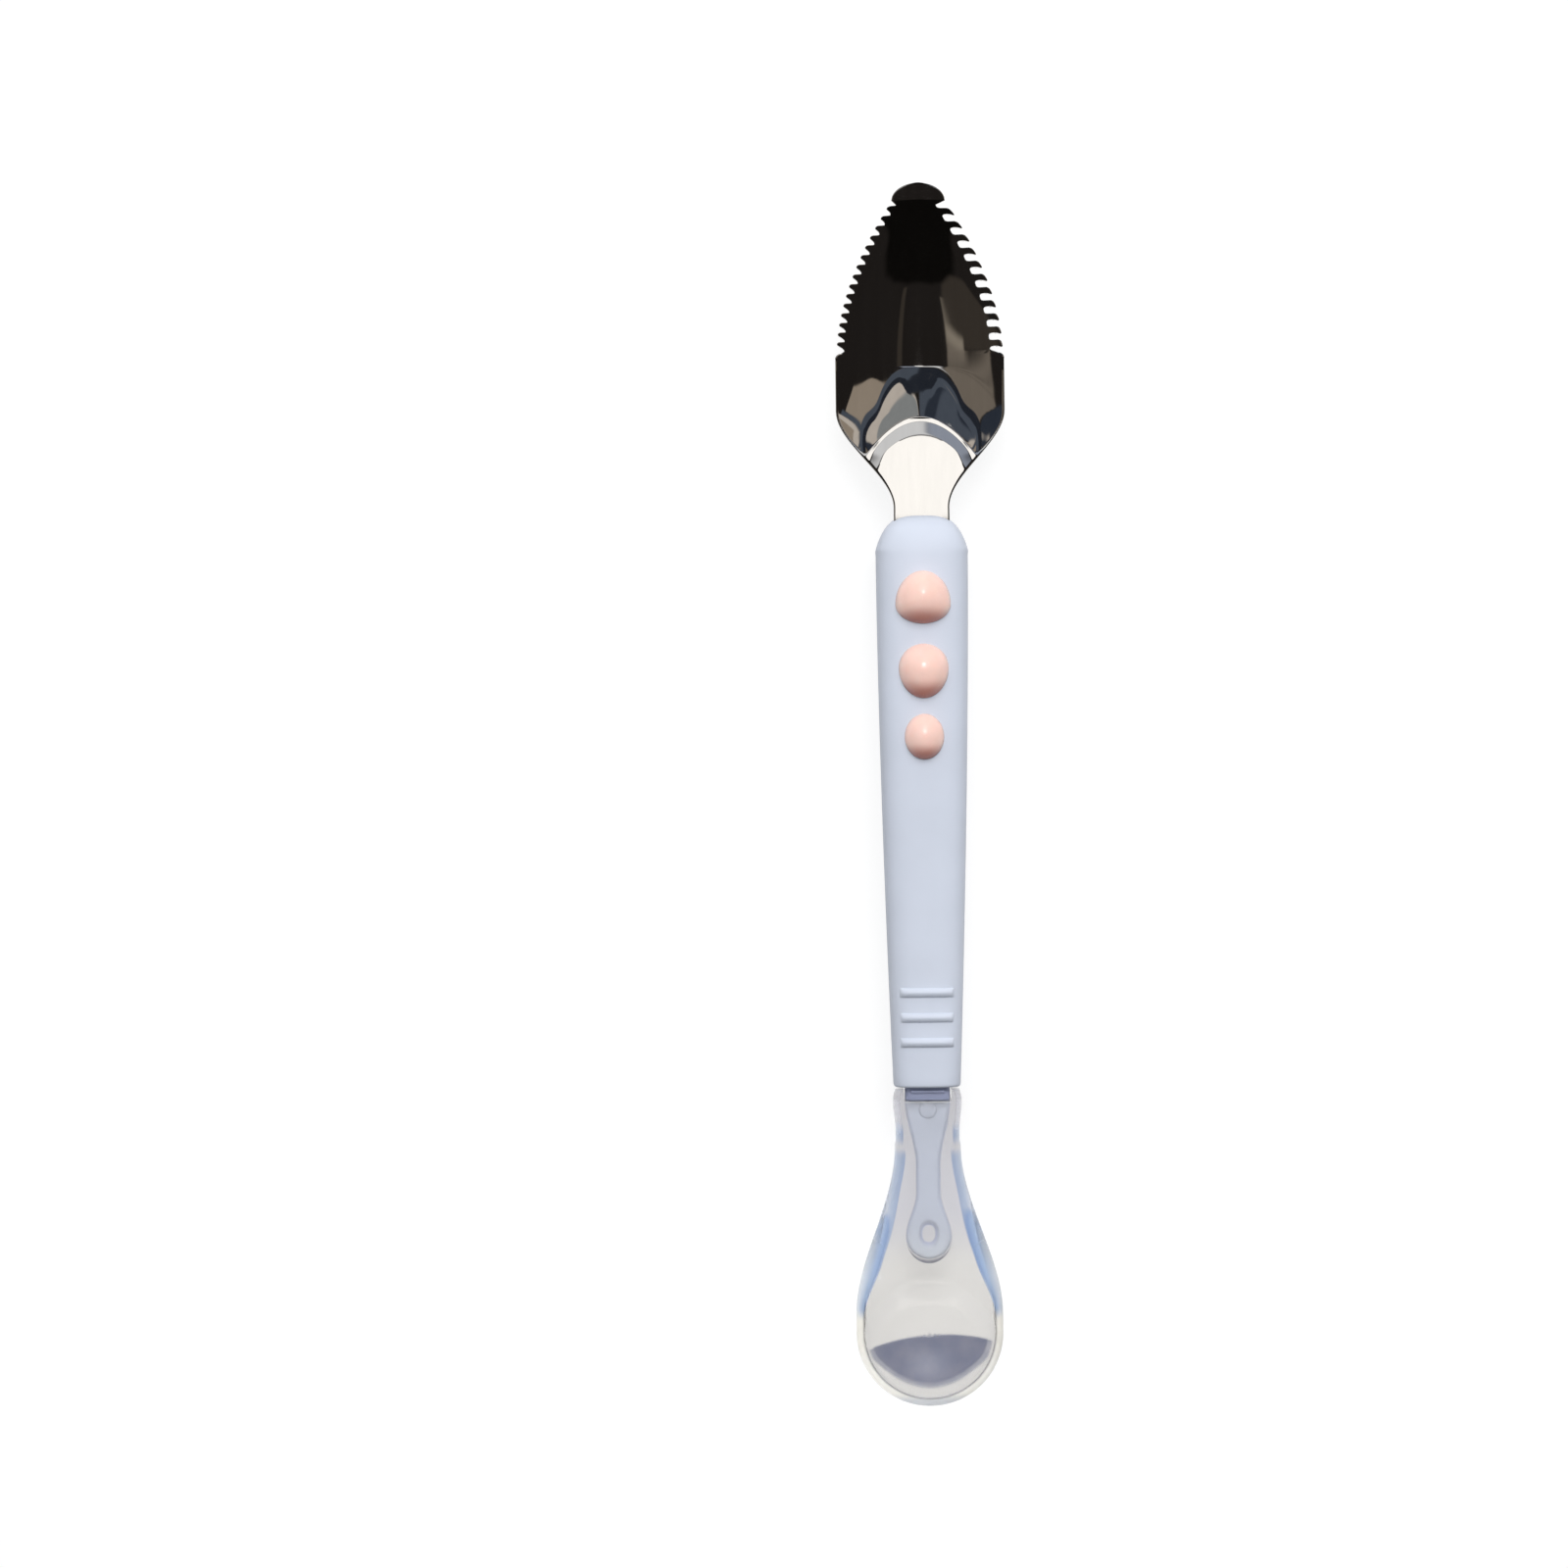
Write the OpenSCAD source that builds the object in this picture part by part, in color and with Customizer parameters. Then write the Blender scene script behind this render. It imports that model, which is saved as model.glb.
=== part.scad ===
// Double-ended feeding spoon: a toothed steel scraping spoon at one end, a soft clear silicone spoon
// at the other, and a soft-touch handle with three raised grip beads between them.
// Lengths run along Y with the steel tip at +Y, the bowls open towards +Z, and the handle's flat back
// lies on Z = 0. The origin is below the middle of the overall length.

/* [Lengths along the spoon] */
// Steel tip to the arched heel where the steel bowl ends
blade_len = 34.2; // [32:0.1:38]
// Arched heel to the top of the end cap
neck_len = 13.9; // [12:0.1:18]
// Height of the domed end cap
cap_len = 6; // [5:0.1:8]
// Handle shell, end cap to lower end
shell_len = 76.7; // [70:0.1:85]
// Air gap between the shell and the silicone head
head_gap = 0.3; // [0.2:0.05:0.6]
// Silicone head, mouth to tip
head_len = 45.8; // [44:0.1:50]

/* [Steel spoon] */
// Thickness of the steel sheet
sheet_t = 1; // [0.8:0.05:1.2]
// Width across the shoulders
blade_w = 24.5; // [22:0.1:27]
// Width of the smooth rounded tip
tip_w = 7.8; // [7:0.1:9]
// Length of the smooth rounded tip
tip_len = 2.65; // [2.2:0.05:3.2]
// Length of the toothed edges
teeth_run = 21; // [19:0.1:22.5]
// Step from the last teeth out to the shoulders, on each side
shoulder_step = 0.25; // [0.1:0.05:0.6]
// Fine teeth on the left edge
fine_teeth = 15; // [12:1:18]
// Depth of the fine teeth
fine_depth = 1.1; // [0.8:0.05:1.3]
// Hooked teeth on the right edge
hook_teeth = 11; // [9:1:13]
// Depth of the hooked teeth
hook_depth = 1.75; // [1.3:0.05:1.9]
// Depth of the steel bowl below its rim
scoop_depth = 5; // [4.6:0.1:5.1]
// Height of the steel rim above the table
rim_z = 6.4; // [6.3:0.05:7]
// Width of the neck where it enters the end cap
neck_w = 8.1; // [7:0.1:9]
// Width of the tang inside the handle
tang_w = 4.2; // [3.6:0.1:4.4]
// Length of the tang along the core
tang_len = 34; // [25:0.5:45]
// Diameter of the keying holes through the tang
key_d = 2.2; // [1.8:0.1:2.4]

/* [Handle] */
// Shell width at the end cap
shell_top_w = 13.3; // [12.4:0.1:14.5]
// Shell width at the lower end
shell_end_w = 9.7; // [9.5:0.1:11]
// Shell thickness at the end cap
shell_top_t = 11.5; // [11:0.1:12.5]
// Shell thickness at the lower end
shell_end_t = 10; // [9.8:0.1:11]
// Depth of the flat along the handle's back
back_cut = 0.35; // [0.2:0.05:0.5]
// Radius round the shell's lower edge
shell_end_r = 0.8; // [0.5:0.05:0.9]
// How far the end cap stands out past the shell on each side
cap_lip = 0.25; // [0.1:0.05:0.4]
// Length of the plug under the end cap
plug_len = 3; // [2:0.1:5]
// Width of the core bar and of the tongue at its widest
core_w = 6.5; // [6.2:0.1:6.8]
// Thickness of the core bar
core_t = 5.2; // [4.6:0.1:5.4]
// Radius along the core bar's edges
core_r = 1; // [0.8:0.05:1]
// Height of the core's centre line above the table
core_z = 5.6; // [5.5:0.05:5.7]
// Clearance between pieces that are moulded or pressed together
mould_gap = 0.05; // [0.03:0.01:0.1]

/* [Grip ribs] */
// Number of ribs near the lower end
rib_count = 3; // [2:1:4]
// Distance from rib to rib
rib_pitch = 3.6; // [2.5:0.1:4]
// Length of a rib across the handle
rib_len = 7.6; // [6.5:0.1:8]
// Width of a rib
rib_w = 1.3; // [1:0.05:1.6]
// Height of a rib above the shell
rib_h = 0.55; // [0.3:0.05:0.8]
// Last rib to the shell's lower end
rib_from_end = 6.5; // [5:0.1:9]

/* [Grip beads] */
// Top of the shell to the widest line of the upper, middle and lower bead
bead_from_top = [7.1, 16.2, 26.1]; // [6:0.1:30]
// Width of each bead
bead_width = [8, 7.2, 5.7]; // [5:0.1:9]
// Length of each bead above its widest line
bead_up = [4.9, 3.5, 3.3]; // [3:0.1:5]
// Length of each bead below its widest line
bead_down = [2.8, 4.4, 3.3]; // [2.5:0.1:4.6]
// Height of each bead above the shell
bead_height = [2.9, 2.7, 2.3]; // [1.5:0.1:3.5]

/* [Tongue] */
// Bare length of the core between the shell and the tongue
block_len = 1.9; // [1.4:0.1:3]
// Height of the ridge across the bare length
ridge_h = 0.3; // [0.2:0.05:0.4]
// Tongue length from the bare length to its round end
tongue_len = 23; // [21:0.1:24]
// Thickness of the tongue
tongue_t = 2.4; // [2:0.1:2.8]
// Width of the tongue at its waist
waist_w = 3.4; // [3:0.1:5]
// Width of the oval hole in the tongue's round end
oval_w = 2; // [1.6:0.1:2.6]
// Length of the oval hole
oval_len = 3; // [2.8:0.1:3.6]
// Diameter of the snap boss on the tongue
boss_d = 2.6; // [2:0.1:3]
// Height of the snap boss
boss_h = 0.35; // [0.2:0.05:0.5]

/* [Silicone head] */
// Width at the mouth
mouth_w = 10; // [9.6:0.1:11]
// Width at the waist
head_waist_w = 9.3; // [9.1:0.1:10]
// Thickness of the sleeve
sleeve_t = 5.8; // [5.4:0.1:6.4]
// Width of the silicone bowl
bowl_w = 21.2; // [20:0.1:24]
// Height of the silicone rim above the table
bowl_rim_z = 7.9; // [7.6:0.1:8.6]
// Depth of the silicone bowl below its rim
bowl_depth = 5.2; // [4.8:0.1:5.6]
// Wall under the deepest point of the silicone bowl
bowl_wall = 1.4; // [1.2:0.1:1.6]
// Width of the rounded lip
lip_w = 1.2; // [0.9:0.05:1.6]
// Thickness of the rounded lip
lip_t = 1.4; // [1:0.1:1.8]
// Solid silicone between the end of the pocket and the bowl
web_len = 1.1; // [0.8:0.1:1.6]
// Sliding clearance all round the tongue
tongue_fit = 0.15; // [0.1:0.01:0.25]

/* [Hidden] */

// How far a cut runs past the face that it opens
overshoot = 1;

// Stations along Y, from the steel tip down to the silicone tip
total_len = blade_len + neck_len + cap_len + shell_len + head_gap + head_len;
tip_y = total_len / 2;
cap_top_y = tip_y - blade_len - neck_len;
shell_top_y = cap_top_y - cap_len;
shell_end_y = shell_top_y - shell_len;
mouth_y = shell_end_y - head_gap;
core_top_y = shell_top_y - plug_len;
block_end_y = shell_end_y - block_len;
tongue_end_y = block_end_y - tongue_len;

// Core and tang heights: the tang lies flush in the core's upper face
core_top_z = core_z + core_t / 2;
tang_z = core_top_z - sheet_t / 2;
key_count = 2;

// Steel outline, as distances from the tip
root_d = tip_len + 0.6;
shoulder_d = root_d + teeth_run;
shoulder_r = 0.5;
lower_start = shoulder_d + 0.1 + shoulder_r;
taper_d = blade_len - 1.2;
taper_run = neck_len + 0.2;
lower_end = taper_d + taper_run;
neck_seat = cap_len - 1;
neck_end_d = blade_len + neck_len + neck_seat;
ogive = 1.75;

// Steel bowl: how its depth fades at the sides, the arched heel and the tip
side_power = 2.4;
heel_bow = 5.9;
heel_run = 8;
heel_power = 1.35;
nose_run = 16;
nose_power = 2;

// Teeth: how far each tip leans along the edge, in pitches, and how narrow it is
fine_lean = -0.2;
fine_narrow = 0.9;
fine_steps = 6;
hook_lean = 0.27;
hook_narrow = 1.3;
hook_steps = 8;
tooth_rows = max(fine_teeth * fine_steps, hook_teeth * hook_steps);

// Handle section, and the dome of the end cap seen from above and from the side
section_power = 3.2;
section_points = 44;
taper_power = 1.6;
dome_power = [1.3, 2];
dome_blunt = 0.28;

// Silicone section
tip_r = bowl_w / 2;
bowl_mid_d = head_len - tip_r;
pocket_end_d = mouth_y - tongue_end_y + tongue_fit;
bowl_start_d = pocket_end_d + web_len;
bowl_up = bowl_mid_d - bowl_start_d;
bowl_in_r = tip_r - lip_w;
bowl_mid_z = bowl_rim_z - lip_t / 2;
bowl_under = bowl_mid_z - (bowl_rim_z - bowl_depth - bowl_wall);
bowl_power = 2.4;
bowl_round = 0.7;
sleeve_power = 3.4;
lip_power = 5;
collar_d = 7.4;
collar_step = 0.3;
collar_run = 0.8;
mouth_bevel = 0.8;
bevel_run = 1.6;
swell_from = 8.5;
swell_to = bowl_mid_d - 2.7;
turn_end = bowl_start_d + 3;
lip_angle = asin(bowl_in_r / tip_r);
under_steps = 16;
lip_steps = 5;
bowl_steps = 10;

// Easing, blending and signed powers
function clamp01(t) = min(1, max(0, t));
function ease(t) = let (c = clamp01(t)) c * c * (3 - 2 * c);
function mix(a, b, t) = a + (b - a) * t;
function signed_pow(v, e) = sign(v) * pow(abs(v), e);
// Height of a superellipse of unit half-axes at a share s of its half-width
function arch(s, power) = pow(max(0, 1 - pow(min(1, abs(s)), power)), 1 / power);

// Corner points of a rectangle with rounded corners
function rounded_rect(w, t, r, steps = 4) = [
    for (corner = [[1, 1, 0], [-1, 1, 90], [-1, -1, 180], [1, -1, 270]], k = [0 : steps])
        let (angle = corner[2] + 90 * k / steps)
        [corner[0] * (w / 2 - r) + r * cos(angle), corner[1] * (t / 2 - r) + r * sin(angle)]
];

// Closed rings of equal length skinned into a solid, with each end drawn in to one point.
// Each ring turns the way a right-hand screw turns as it moves on to the next ring.
module loft(rings, first, last) {
    count = len(rings[0]);
    points = concat([for (ring = rings) each ring], [first, last]);
    first_at = len(rings) * count;
    sides = [for (r = [0 : len(rings) - 2], p = [0 : count - 1])
        let (a = r * count + p, b = r * count + (p + 1) % count)
        each [[a, b + count, b], [a, a + count, b + count]]];
    start = [for (p = [0 : count - 1]) [first_at, p, (p + 1) % count]];
    end_row = (len(rings) - 1) * count;
    finish = [for (p = [0 : count - 1]) [first_at + 1, end_row + (p + 1) % count, end_row + p]];
    polyhedron(points, concat(sides, start, finish));
}

// A sheet between two grids of points, walled round its edges
module sheet(top, under) {
    rows = len(top);
    cols = len(top[0]);
    points = concat([for (row = top) each row], [for (row = under) each row]);
    below = rows * cols;
    skin = [for (r = [0 : rows - 2], c = [0 : cols - 2])
        let (a = r * cols + c, b = a + 1, e = a + cols, f = e + 1)
        each [[a, b, f], [a, f, e], [below + a, below + f, below + b], [below + a, below + e, below + f]]];
    long_walls = [for (r = [0 : rows - 2], c = [0, cols - 1])
        let (a = r * cols + c, e = a + cols)
        each c > 0
            ? [[a, below + a, below + e], [a, below + e, e]]
            : [[a, below + e, below + a], [a, e, below + e]]];
    end_walls = [for (r = [0, rows - 1], c = [0 : cols - 2])
        let (a = r * cols + c, b = a + 1)
        each r > 0
            ? [[a, b, below + b], [a, below + b, below + a]]
            : [[a, below + b, b], [a, below + a, below + b]]];
    polyhedron(points, concat(skin, long_walls, end_walls));
}

// A bar of rounded section along Y, centred on the core's line
module bar(w, t, r, from_y, to_y) {
    translate([0, max(from_y, to_y), core_z])
        rotate([90, 0, 0])
            linear_extrude(height = abs(to_y - from_y))
                polygon(rounded_rect(w, t, r));
}

// A box along Y, centred on the height z
module slab(w, t, from_y, to_y, z = core_z) {
    translate([-w / 2, min(from_y, to_y), z - t / 2])
        cube([w, abs(to_y - from_y), t]);
}

// Steel spoon. Places are given as a half-width and a distance d from the tip.

// Half-width of the rounded tip, then of a stretch that widens to end_w at the shoulders
function tip_half_w(d) = tip_w / 2 * sqrt(max(0, 1 - pow(1 - d / tip_len, 2)));
function ogive_w(d, end_w) =
    mix(tip_w, end_w, 1 - pow(1 - clamp01((d - tip_len) / (shoulder_d - tip_len)), ogive)) / 2;
function lower_w(d) = mix(blade_w, neck_w, ease((d - taper_d) / taper_run)) / 2;
function outline_w(d, end_w) = d < tip_len ? tip_half_w(d) : d < shoulder_d ? ogive_w(d, end_w) : lower_w(d);
// Half-width through the tips of the teeth, then the shoulders and the neck
function steel_w(d) = outline_w(d, blade_w - 2 * shoulder_step);
// The same without the step at the shoulders, which shapes the bowl
function scoop_w(d) = outline_w(d, blade_w);

// How far a tooth stands out of its root, from 0 to 1, over one tooth
function tooth(phase, narrow) = pow(0.5 - 0.5 * cos(360 * phase), narrow);
function toothed_edge(share, count, depth, lean, narrow) =
    let (out = tooth(count * share, narrow), d = root_d + teeth_run * clamp01(share + lean * out / count))
    [steel_w(d) - depth * (1 - out), d];

// The bowl is deepest along its middle and fades out at the rim, the heel and the tip
function heel_d(x) = blade_len + heel_bow * pow(x / steel_w(blade_len + heel_bow), 2);
function scoop(x, d) =
    let (side = 1 - pow(min(1, abs(x) / max(0.01, scoop_w(d))), side_power),
        heel = 1 - pow(1 - clamp01((heel_d(x) - d) / heel_run), heel_power),
        nose = 1 - pow(1 - clamp01(d / nose_run), nose_power))
    scoop_depth * side * heel * nose;
// The neck rises evenly from the rim to the height of the tang
function steel_z(x, d) =
    mix(rim_z, core_top_z, clamp01((d - blade_len) / neck_len)) - scoop(x, d);
// Drop from the upper face to the lower one that keeps the sheet's thickness on a slope
function steel_drop(x, d) =
    let (e = 0.05, gx = (steel_z(x + e, d) - steel_z(x - e, d)) / (2 * e),
        gy = (steel_z(x, d + e) - steel_z(x, d - e)) / (2 * e))
    sheet_t * sqrt(1 + min(3, gx * gx + gy * gy));

// Each row of the sheet runs from its left edge through the middle to its right edge
row_shares = [0.25, 0.5, 0.75, 0.94];
function steel_row(left, right, mid_d, left_in, right_in, bend = 1) = concat(
    [[-left[0], left[1]]],
    [for (k = [3 : -1 : 0]) [-left_in * row_shares[k], mix(mid_d, left[1], pow(row_shares[k], bend))]],
    [[0, mid_d]],
    [for (k = [0 : 3]) [right_in * row_shares[k], mix(mid_d, right[1], pow(row_shares[k], bend))]],
    [[right[0], right[1]]]);

function even_row(w, d) = steel_row([w, d], [w, d], d, w, w);
// The first row closes the tip with a short arc from edge to edge
function nose_row(d) = let (edge = [tip_half_w(d), d]) steel_row(edge, edge, 0, edge[0], edge[0], 2);
function tip_row(angle) = even_row(tip_w / 2 * sin(angle), tip_len * (1 - cos(angle)));
function tooth_row(j) =
    let (fine = min(1, j / (fine_teeth * fine_steps)), hook = min(1, j / (hook_teeth * hook_steps)),
        d = root_d + teeth_run * j / tooth_rows)
    steel_row(toothed_edge(fine, fine_teeth, fine_depth, fine_lean, fine_narrow),
        toothed_edge(hook, hook_teeth, hook_depth, hook_lean, hook_narrow),
        d, steel_w(d) - fine_depth, steel_w(d) - hook_depth);
function shoulder_row(angle) =
    even_row(blade_w / 2 - shoulder_r * (1 - sin(angle)), lower_start - shoulder_r * cos(angle));
// Below the shoulders the rows bow, so that the heel's crease runs along one of them
function bowed_row(mid_d) =
    let (bow = heel_bow * (mid_d < blade_len ? ease((mid_d - lower_start) / (blade_len - lower_start))
            : 1 - ease((mid_d - blade_len) / (lower_end - blade_len))),
        edge = [steel_w(mid_d + bow), mid_d + bow])
    steel_row(edge, edge, mid_d, edge[0], edge[0], 2);

bowed_steps = 11;
steel_rows = concat(
    [nose_row(0.09)],
    [for (angle = [25 : 13 : 90]) tip_row(angle)],
    [for (j = [0 : tooth_rows]) tooth_row(j)],
    [for (angle = [0, 45, 90]) shoulder_row(angle)],
    [for (k = [1 : bowed_steps]) bowed_row(mix(lower_start, blade_len, k / bowed_steps))],
    [for (k = [1 : bowed_steps]) bowed_row(mix(blade_len, lower_end, k / bowed_steps))],
    [even_row(neck_w / 2, neck_end_d)]);

module steel_spoon() {
    top = [for (row = steel_rows) [for (p = row) [p[0], tip_y - p[1], steel_z(p[0], p[1])]]];
    under = [for (row = steel_rows)
        [for (p = row) [p[0], tip_y - p[1], steel_z(p[0], p[1]) - steel_drop(p[0], p[1])]]];
    color("silver") {
        sheet(top, under);
        difference() {
            slab(tang_w, sheet_t, tip_y - neck_end_d + overshoot, core_top_y - tang_len, tang_z);
            tang_keys(key_d);
        }
    }
}

// The holes through the tang, or the pegs that fill them
module tang_keys(d) {
    for (k = [1 : key_count])
        translate([0, core_top_y - tang_len * k / (key_count + 1), core_z])
            cylinder(d = d, h = core_t, center = true, $fn = 48);
}

// Handle. The share t runs from 0 at the end cap to 1 at the lower end.

function shell_w(t) = mix(shell_top_w, shell_end_w, pow(clamp01(t), taper_power));
function shell_t(t) = mix(shell_top_t, shell_end_t, pow(clamp01(t), taper_power));
function section_mid(t) = (shell_t(t) - back_cut) / 2;
// Height of the handle's upper face
function shell_z(x, y) =
    let (t = (shell_top_y - y) / shell_len, half = (shell_t(t) + back_cut) / 2)
    section_mid(t) + half * arch(x / (shell_w(t) / 2), section_power);

// A superellipse with a flat back. grow widens it sideways and in height, shrink draws it in to its middle.
function section_ring(t, y, grow = [0, 0], shrink = [1, 1]) = [
    for (k = [0 : section_points - 1])
        let (angle = 360 * k / section_points, power = 2 / section_power, mid = section_mid(t),
            half_w = shell_w(t) / 2 + grow[0], half_t = (shell_t(t) + back_cut) / 2 + grow[1],
            x = half_w * signed_pow(cos(angle), power), rise = half_t * signed_pow(sin(angle), power))
        [shrink[0] * x, y, max(mid * (1 - shrink[1]), mid + shrink[1] * rise)]
];

module shell_body() {
    steps = 9;
    straight = [for (k = [0 : steps])
        let (y = mix(shell_top_y, shell_end_y + shell_end_r, k / steps))
        section_ring((shell_top_y - y) / shell_len, y)];
    rounded = [for (angle = [30 : 30 : 90])
        let (drawn_in = shell_end_r * (1 - cos(angle)))
        section_ring(1, shell_end_y + shell_end_r * (1 - sin(angle)), [-drawn_in, -drawn_in])];
    loft(concat(straight, rounded), [0, shell_top_y, section_mid(0)], [0, shell_end_y, section_mid(1)]);
}

// A half-round ridge that follows the handle's upper face, blunt at both ends
module rib(y) {
    across = 14;
    round_steps = 6;
    sunk = 0.5;
    end_share = 0.985;
    tall_power = 5;
    wide_power = 8;
    rings = [for (k = [0 : across])
        let (x = rib_len / 2 * -cos(180 * k / across), s = end_share * x / (rib_len / 2),
            tall = rib_h * arch(s, tall_power), wide = rib_w / 2 * arch(s, wide_power))
        concat(
            [for (q = [0 : round_steps])
                let (a = 180 * q / round_steps, py = y + wide * cos(a))
                [x, py, shell_z(x, py) + tall * sin(a)]],
            [[x, y - wide, shell_z(x, y) - sunk], [x, y + wide, shell_z(x, y) - sunk]])];
    end_z = shell_z(rib_len / 2, y) - sunk / 2;
    loft(rings, [-rib_len / 2, y, end_z], [rib_len / 2, y, end_z]);
}

module handle_shell() {
    color("lightsteelblue")
        difference() {
            union() {
                shell_body();
                for (k = [0 : rib_count - 1])
                    rib(shell_end_y + rib_from_end + k * rib_pitch);
            }
            bar(core_w + 2 * mould_gap, core_t + 2 * mould_gap, core_r, shell_top_y + overshoot,
                shell_end_y - overshoot);
            for (k = [0 : len(bead_width) - 1])
                translate([0, bead_y(k), core_top_z])
                    linear_extrude(height = shell_top_t)
                        polygon(bead_outline(k, mould_gap));
        }
}

// Dome of the end cap, over the plug that fits the shell's channel above the core
module end_cap() {
    shares = [0.97, 0.91, 0.82, 0.7, 0.55, 0.4, 0.25, 0.12, 0];
    rings = [for (u = shares)
        section_ring(0, shell_top_y + u * cap_len, [cap_lip, 0],
            [for (power = dome_power) pow(1 - pow(u, power), dome_blunt)])];
    slot_t = sheet_t + 2 * mould_gap;
    color("lightsteelblue")
        difference() {
            union() {
                loft(rings, [0, cap_top_y, section_mid(0)], [0, shell_top_y, section_mid(0)]);
                bar(core_w, core_t, core_r, shell_top_y + overshoot, core_top_y + mould_gap);
            }
            slab(neck_w + 2 * mould_gap, slot_t, cap_top_y + overshoot, cap_top_y - neck_seat - mould_gap,
                tang_z);
            slab(tang_w + 2 * mould_gap, slot_t, cap_top_y, core_top_y - overshoot, tang_z);
        }
}

// Core bar with the rebate for the tang, and the tongue that carries the silicone head

paddle_r = core_w / 2;
paddle_at = tongue_len - paddle_r;
waist_from = 9.5;
waist_to = 13.4;
boss_y = block_end_y - boss_d / 2 - 0.1;
oval_y = tongue_end_y + paddle_r + 0.4;
ridge_y = shell_end_y - block_len / 3;

// Half-width of the tongue at a distance s from the bare length
function tongue_w(s) =
    s > paddle_at ? paddle_r * sqrt(max(0, 1 - pow((s - paddle_at) / paddle_r, 2)))
    : s > waist_to ? mix(waist_w / 2, paddle_r, ease((s - waist_to) / (paddle_at - waist_to)))
    : mix(core_w / 2, waist_w / 2, ease(s / waist_from));

module tongue_plate() {
    steps = 36;
    round_steps = 10;
    root = 0.5;
    stations = concat([for (k = [0 : steps]) paddle_at * k / steps],
        [for (k = [1 : round_steps]) paddle_at + paddle_r * sin(90 * k / round_steps)]);
    right = [for (s = stations) [tongue_w(s), -s]];
    left = [for (k = [len(stations) - 2 : -1 : 0]) [-tongue_w(stations[k]), -stations[k]]];
    translate([0, block_end_y, core_z - tongue_t / 2])
        linear_extrude(height = tongue_t)
            polygon(concat([[core_w / 2, root]], right, left, [[-core_w / 2, root]]));
}

module handle_core() {
    ridge_len = core_w - 2 * core_r;
    oval_reach = (oval_len - oval_w) / 2;
    color("lavender")
        difference() {
            union() {
                bar(core_w, core_t, core_r, core_top_y, block_end_y);
                tongue_plate();
                translate([0, boss_y, core_z])
                    cylinder(d = boss_d, h = tongue_t / 2 + boss_h, $fn = 48);
                translate([-ridge_len / 2, ridge_y, core_top_z])
                    rotate([0, 90, 0])
                        cylinder(r = ridge_h, h = ridge_len, $fn = 32);
            }
            difference() {
                slab(tang_w + 2 * mould_gap, 2 * (sheet_t + mould_gap), core_top_y + overshoot,
                    core_top_y - tang_len - mould_gap, core_top_z);
                tang_keys(key_d - 2 * mould_gap);
            }
            for (side = [-1, 1])
                translate([0, oval_y + side * oval_reach, core_z])
                    cylinder(d = oval_w, h = tongue_t + overshoot, center = true, $fn = 48);
            slab(oval_w, tongue_t + overshoot, oval_y - oval_reach, oval_y + oval_reach);
        }
}

// Grip beads, each a soft dome on a foot that passes through the shell to the core

function bead_y(k) = shell_top_y - bead_from_top[k];
// Two half-ellipses that share their widest line
function bead_outline(k, grow, shrink = 1) = [
    for (a = [0 : 10 : 350])
        let (long = (sin(a) > 0 ? bead_up[k] : bead_down[k]) + grow)
        [shrink * (bead_width[k] / 2 + grow) * cos(a), shrink * long * sin(a)]
];

module bead(k) {
    sunk = 0.1;
    foot_z = core_top_z + mould_gap;
    side_z = shell_z(bead_width[k] / 2, bead_y(k)) - sunk;
    crest_z = shell_z(0, bead_y(k)) + bead_height[k];
    foot = [for (p = bead_outline(k, 0)) [p[0], bead_y(k) + p[1], foot_z]];
    dome = [for (a = [0 : 12 : 84])
        [for (p = bead_outline(k, 0, cos(a))) [p[0], bead_y(k) + p[1], mix(side_z, crest_z, sin(a))]]];
    color("lightpink")
        loft(concat([foot], dome), [0, bead_y(k), foot_z], [0, bead_y(k), crest_z]);
}

module grip_bead_upper() { bead(0); }
module grip_bead_middle() { bead(1); }
module grip_bead_lower() { bead(2); }

// Silicone head. Places are given as a distance d from its mouth.

// The collar narrows from the mouth to the waist, and the body swells out to the bowl
function head_w(d) =
    let (bevel = mouth_bevel * pow(1 - clamp01(d / bevel_run), 2),
        collar = mix(mouth_w, head_waist_w, ease((d - 2) / 4)) - bevel,
        body = mix(head_waist_w + collar_step, bowl_w, ease((d - swell_from) / (swell_to - swell_from))))
    mix(collar, body, ease((d - collar_d) / collar_run)) / 2;
// How far the section has turned from the sleeve's into the bowl's
function turn(d) = ease((d - swell_from) / (turn_end - swell_from));

// The bowl is egg-shaped, with its widest line bowl_mid_d from the mouth
function bowl_along(d) = d > bowl_mid_d ? (d - bowl_mid_d) / bowl_in_r : (bowl_mid_d - d) / bowl_up;
function bowl_edge(d) = bowl_in_r * sqrt(max(0, 1 - pow(bowl_along(d), 2)));
function bowl_dip(x, d) =
    let (reach = sqrt(pow(x / bowl_in_r, 2) + pow(bowl_along(d), 2)))
    bowl_depth * pow(max(0, 1 - pow(reach, bowl_power)), bowl_round);

// Places across the upper face from right to left, close together on the lip
function head_across(half_w, edge) =
    let (lip = [for (k = [1 : lip_steps]) edge + (half_w - edge) * cos(90 * k / lip_steps)])
    concat(lip, [for (k = [1 : bowl_steps - 1]) edge * cos(180 * k / bowl_steps)],
        [for (k = [lip_steps - 1 : -1 : 0]) -lip[k]]);

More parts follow.
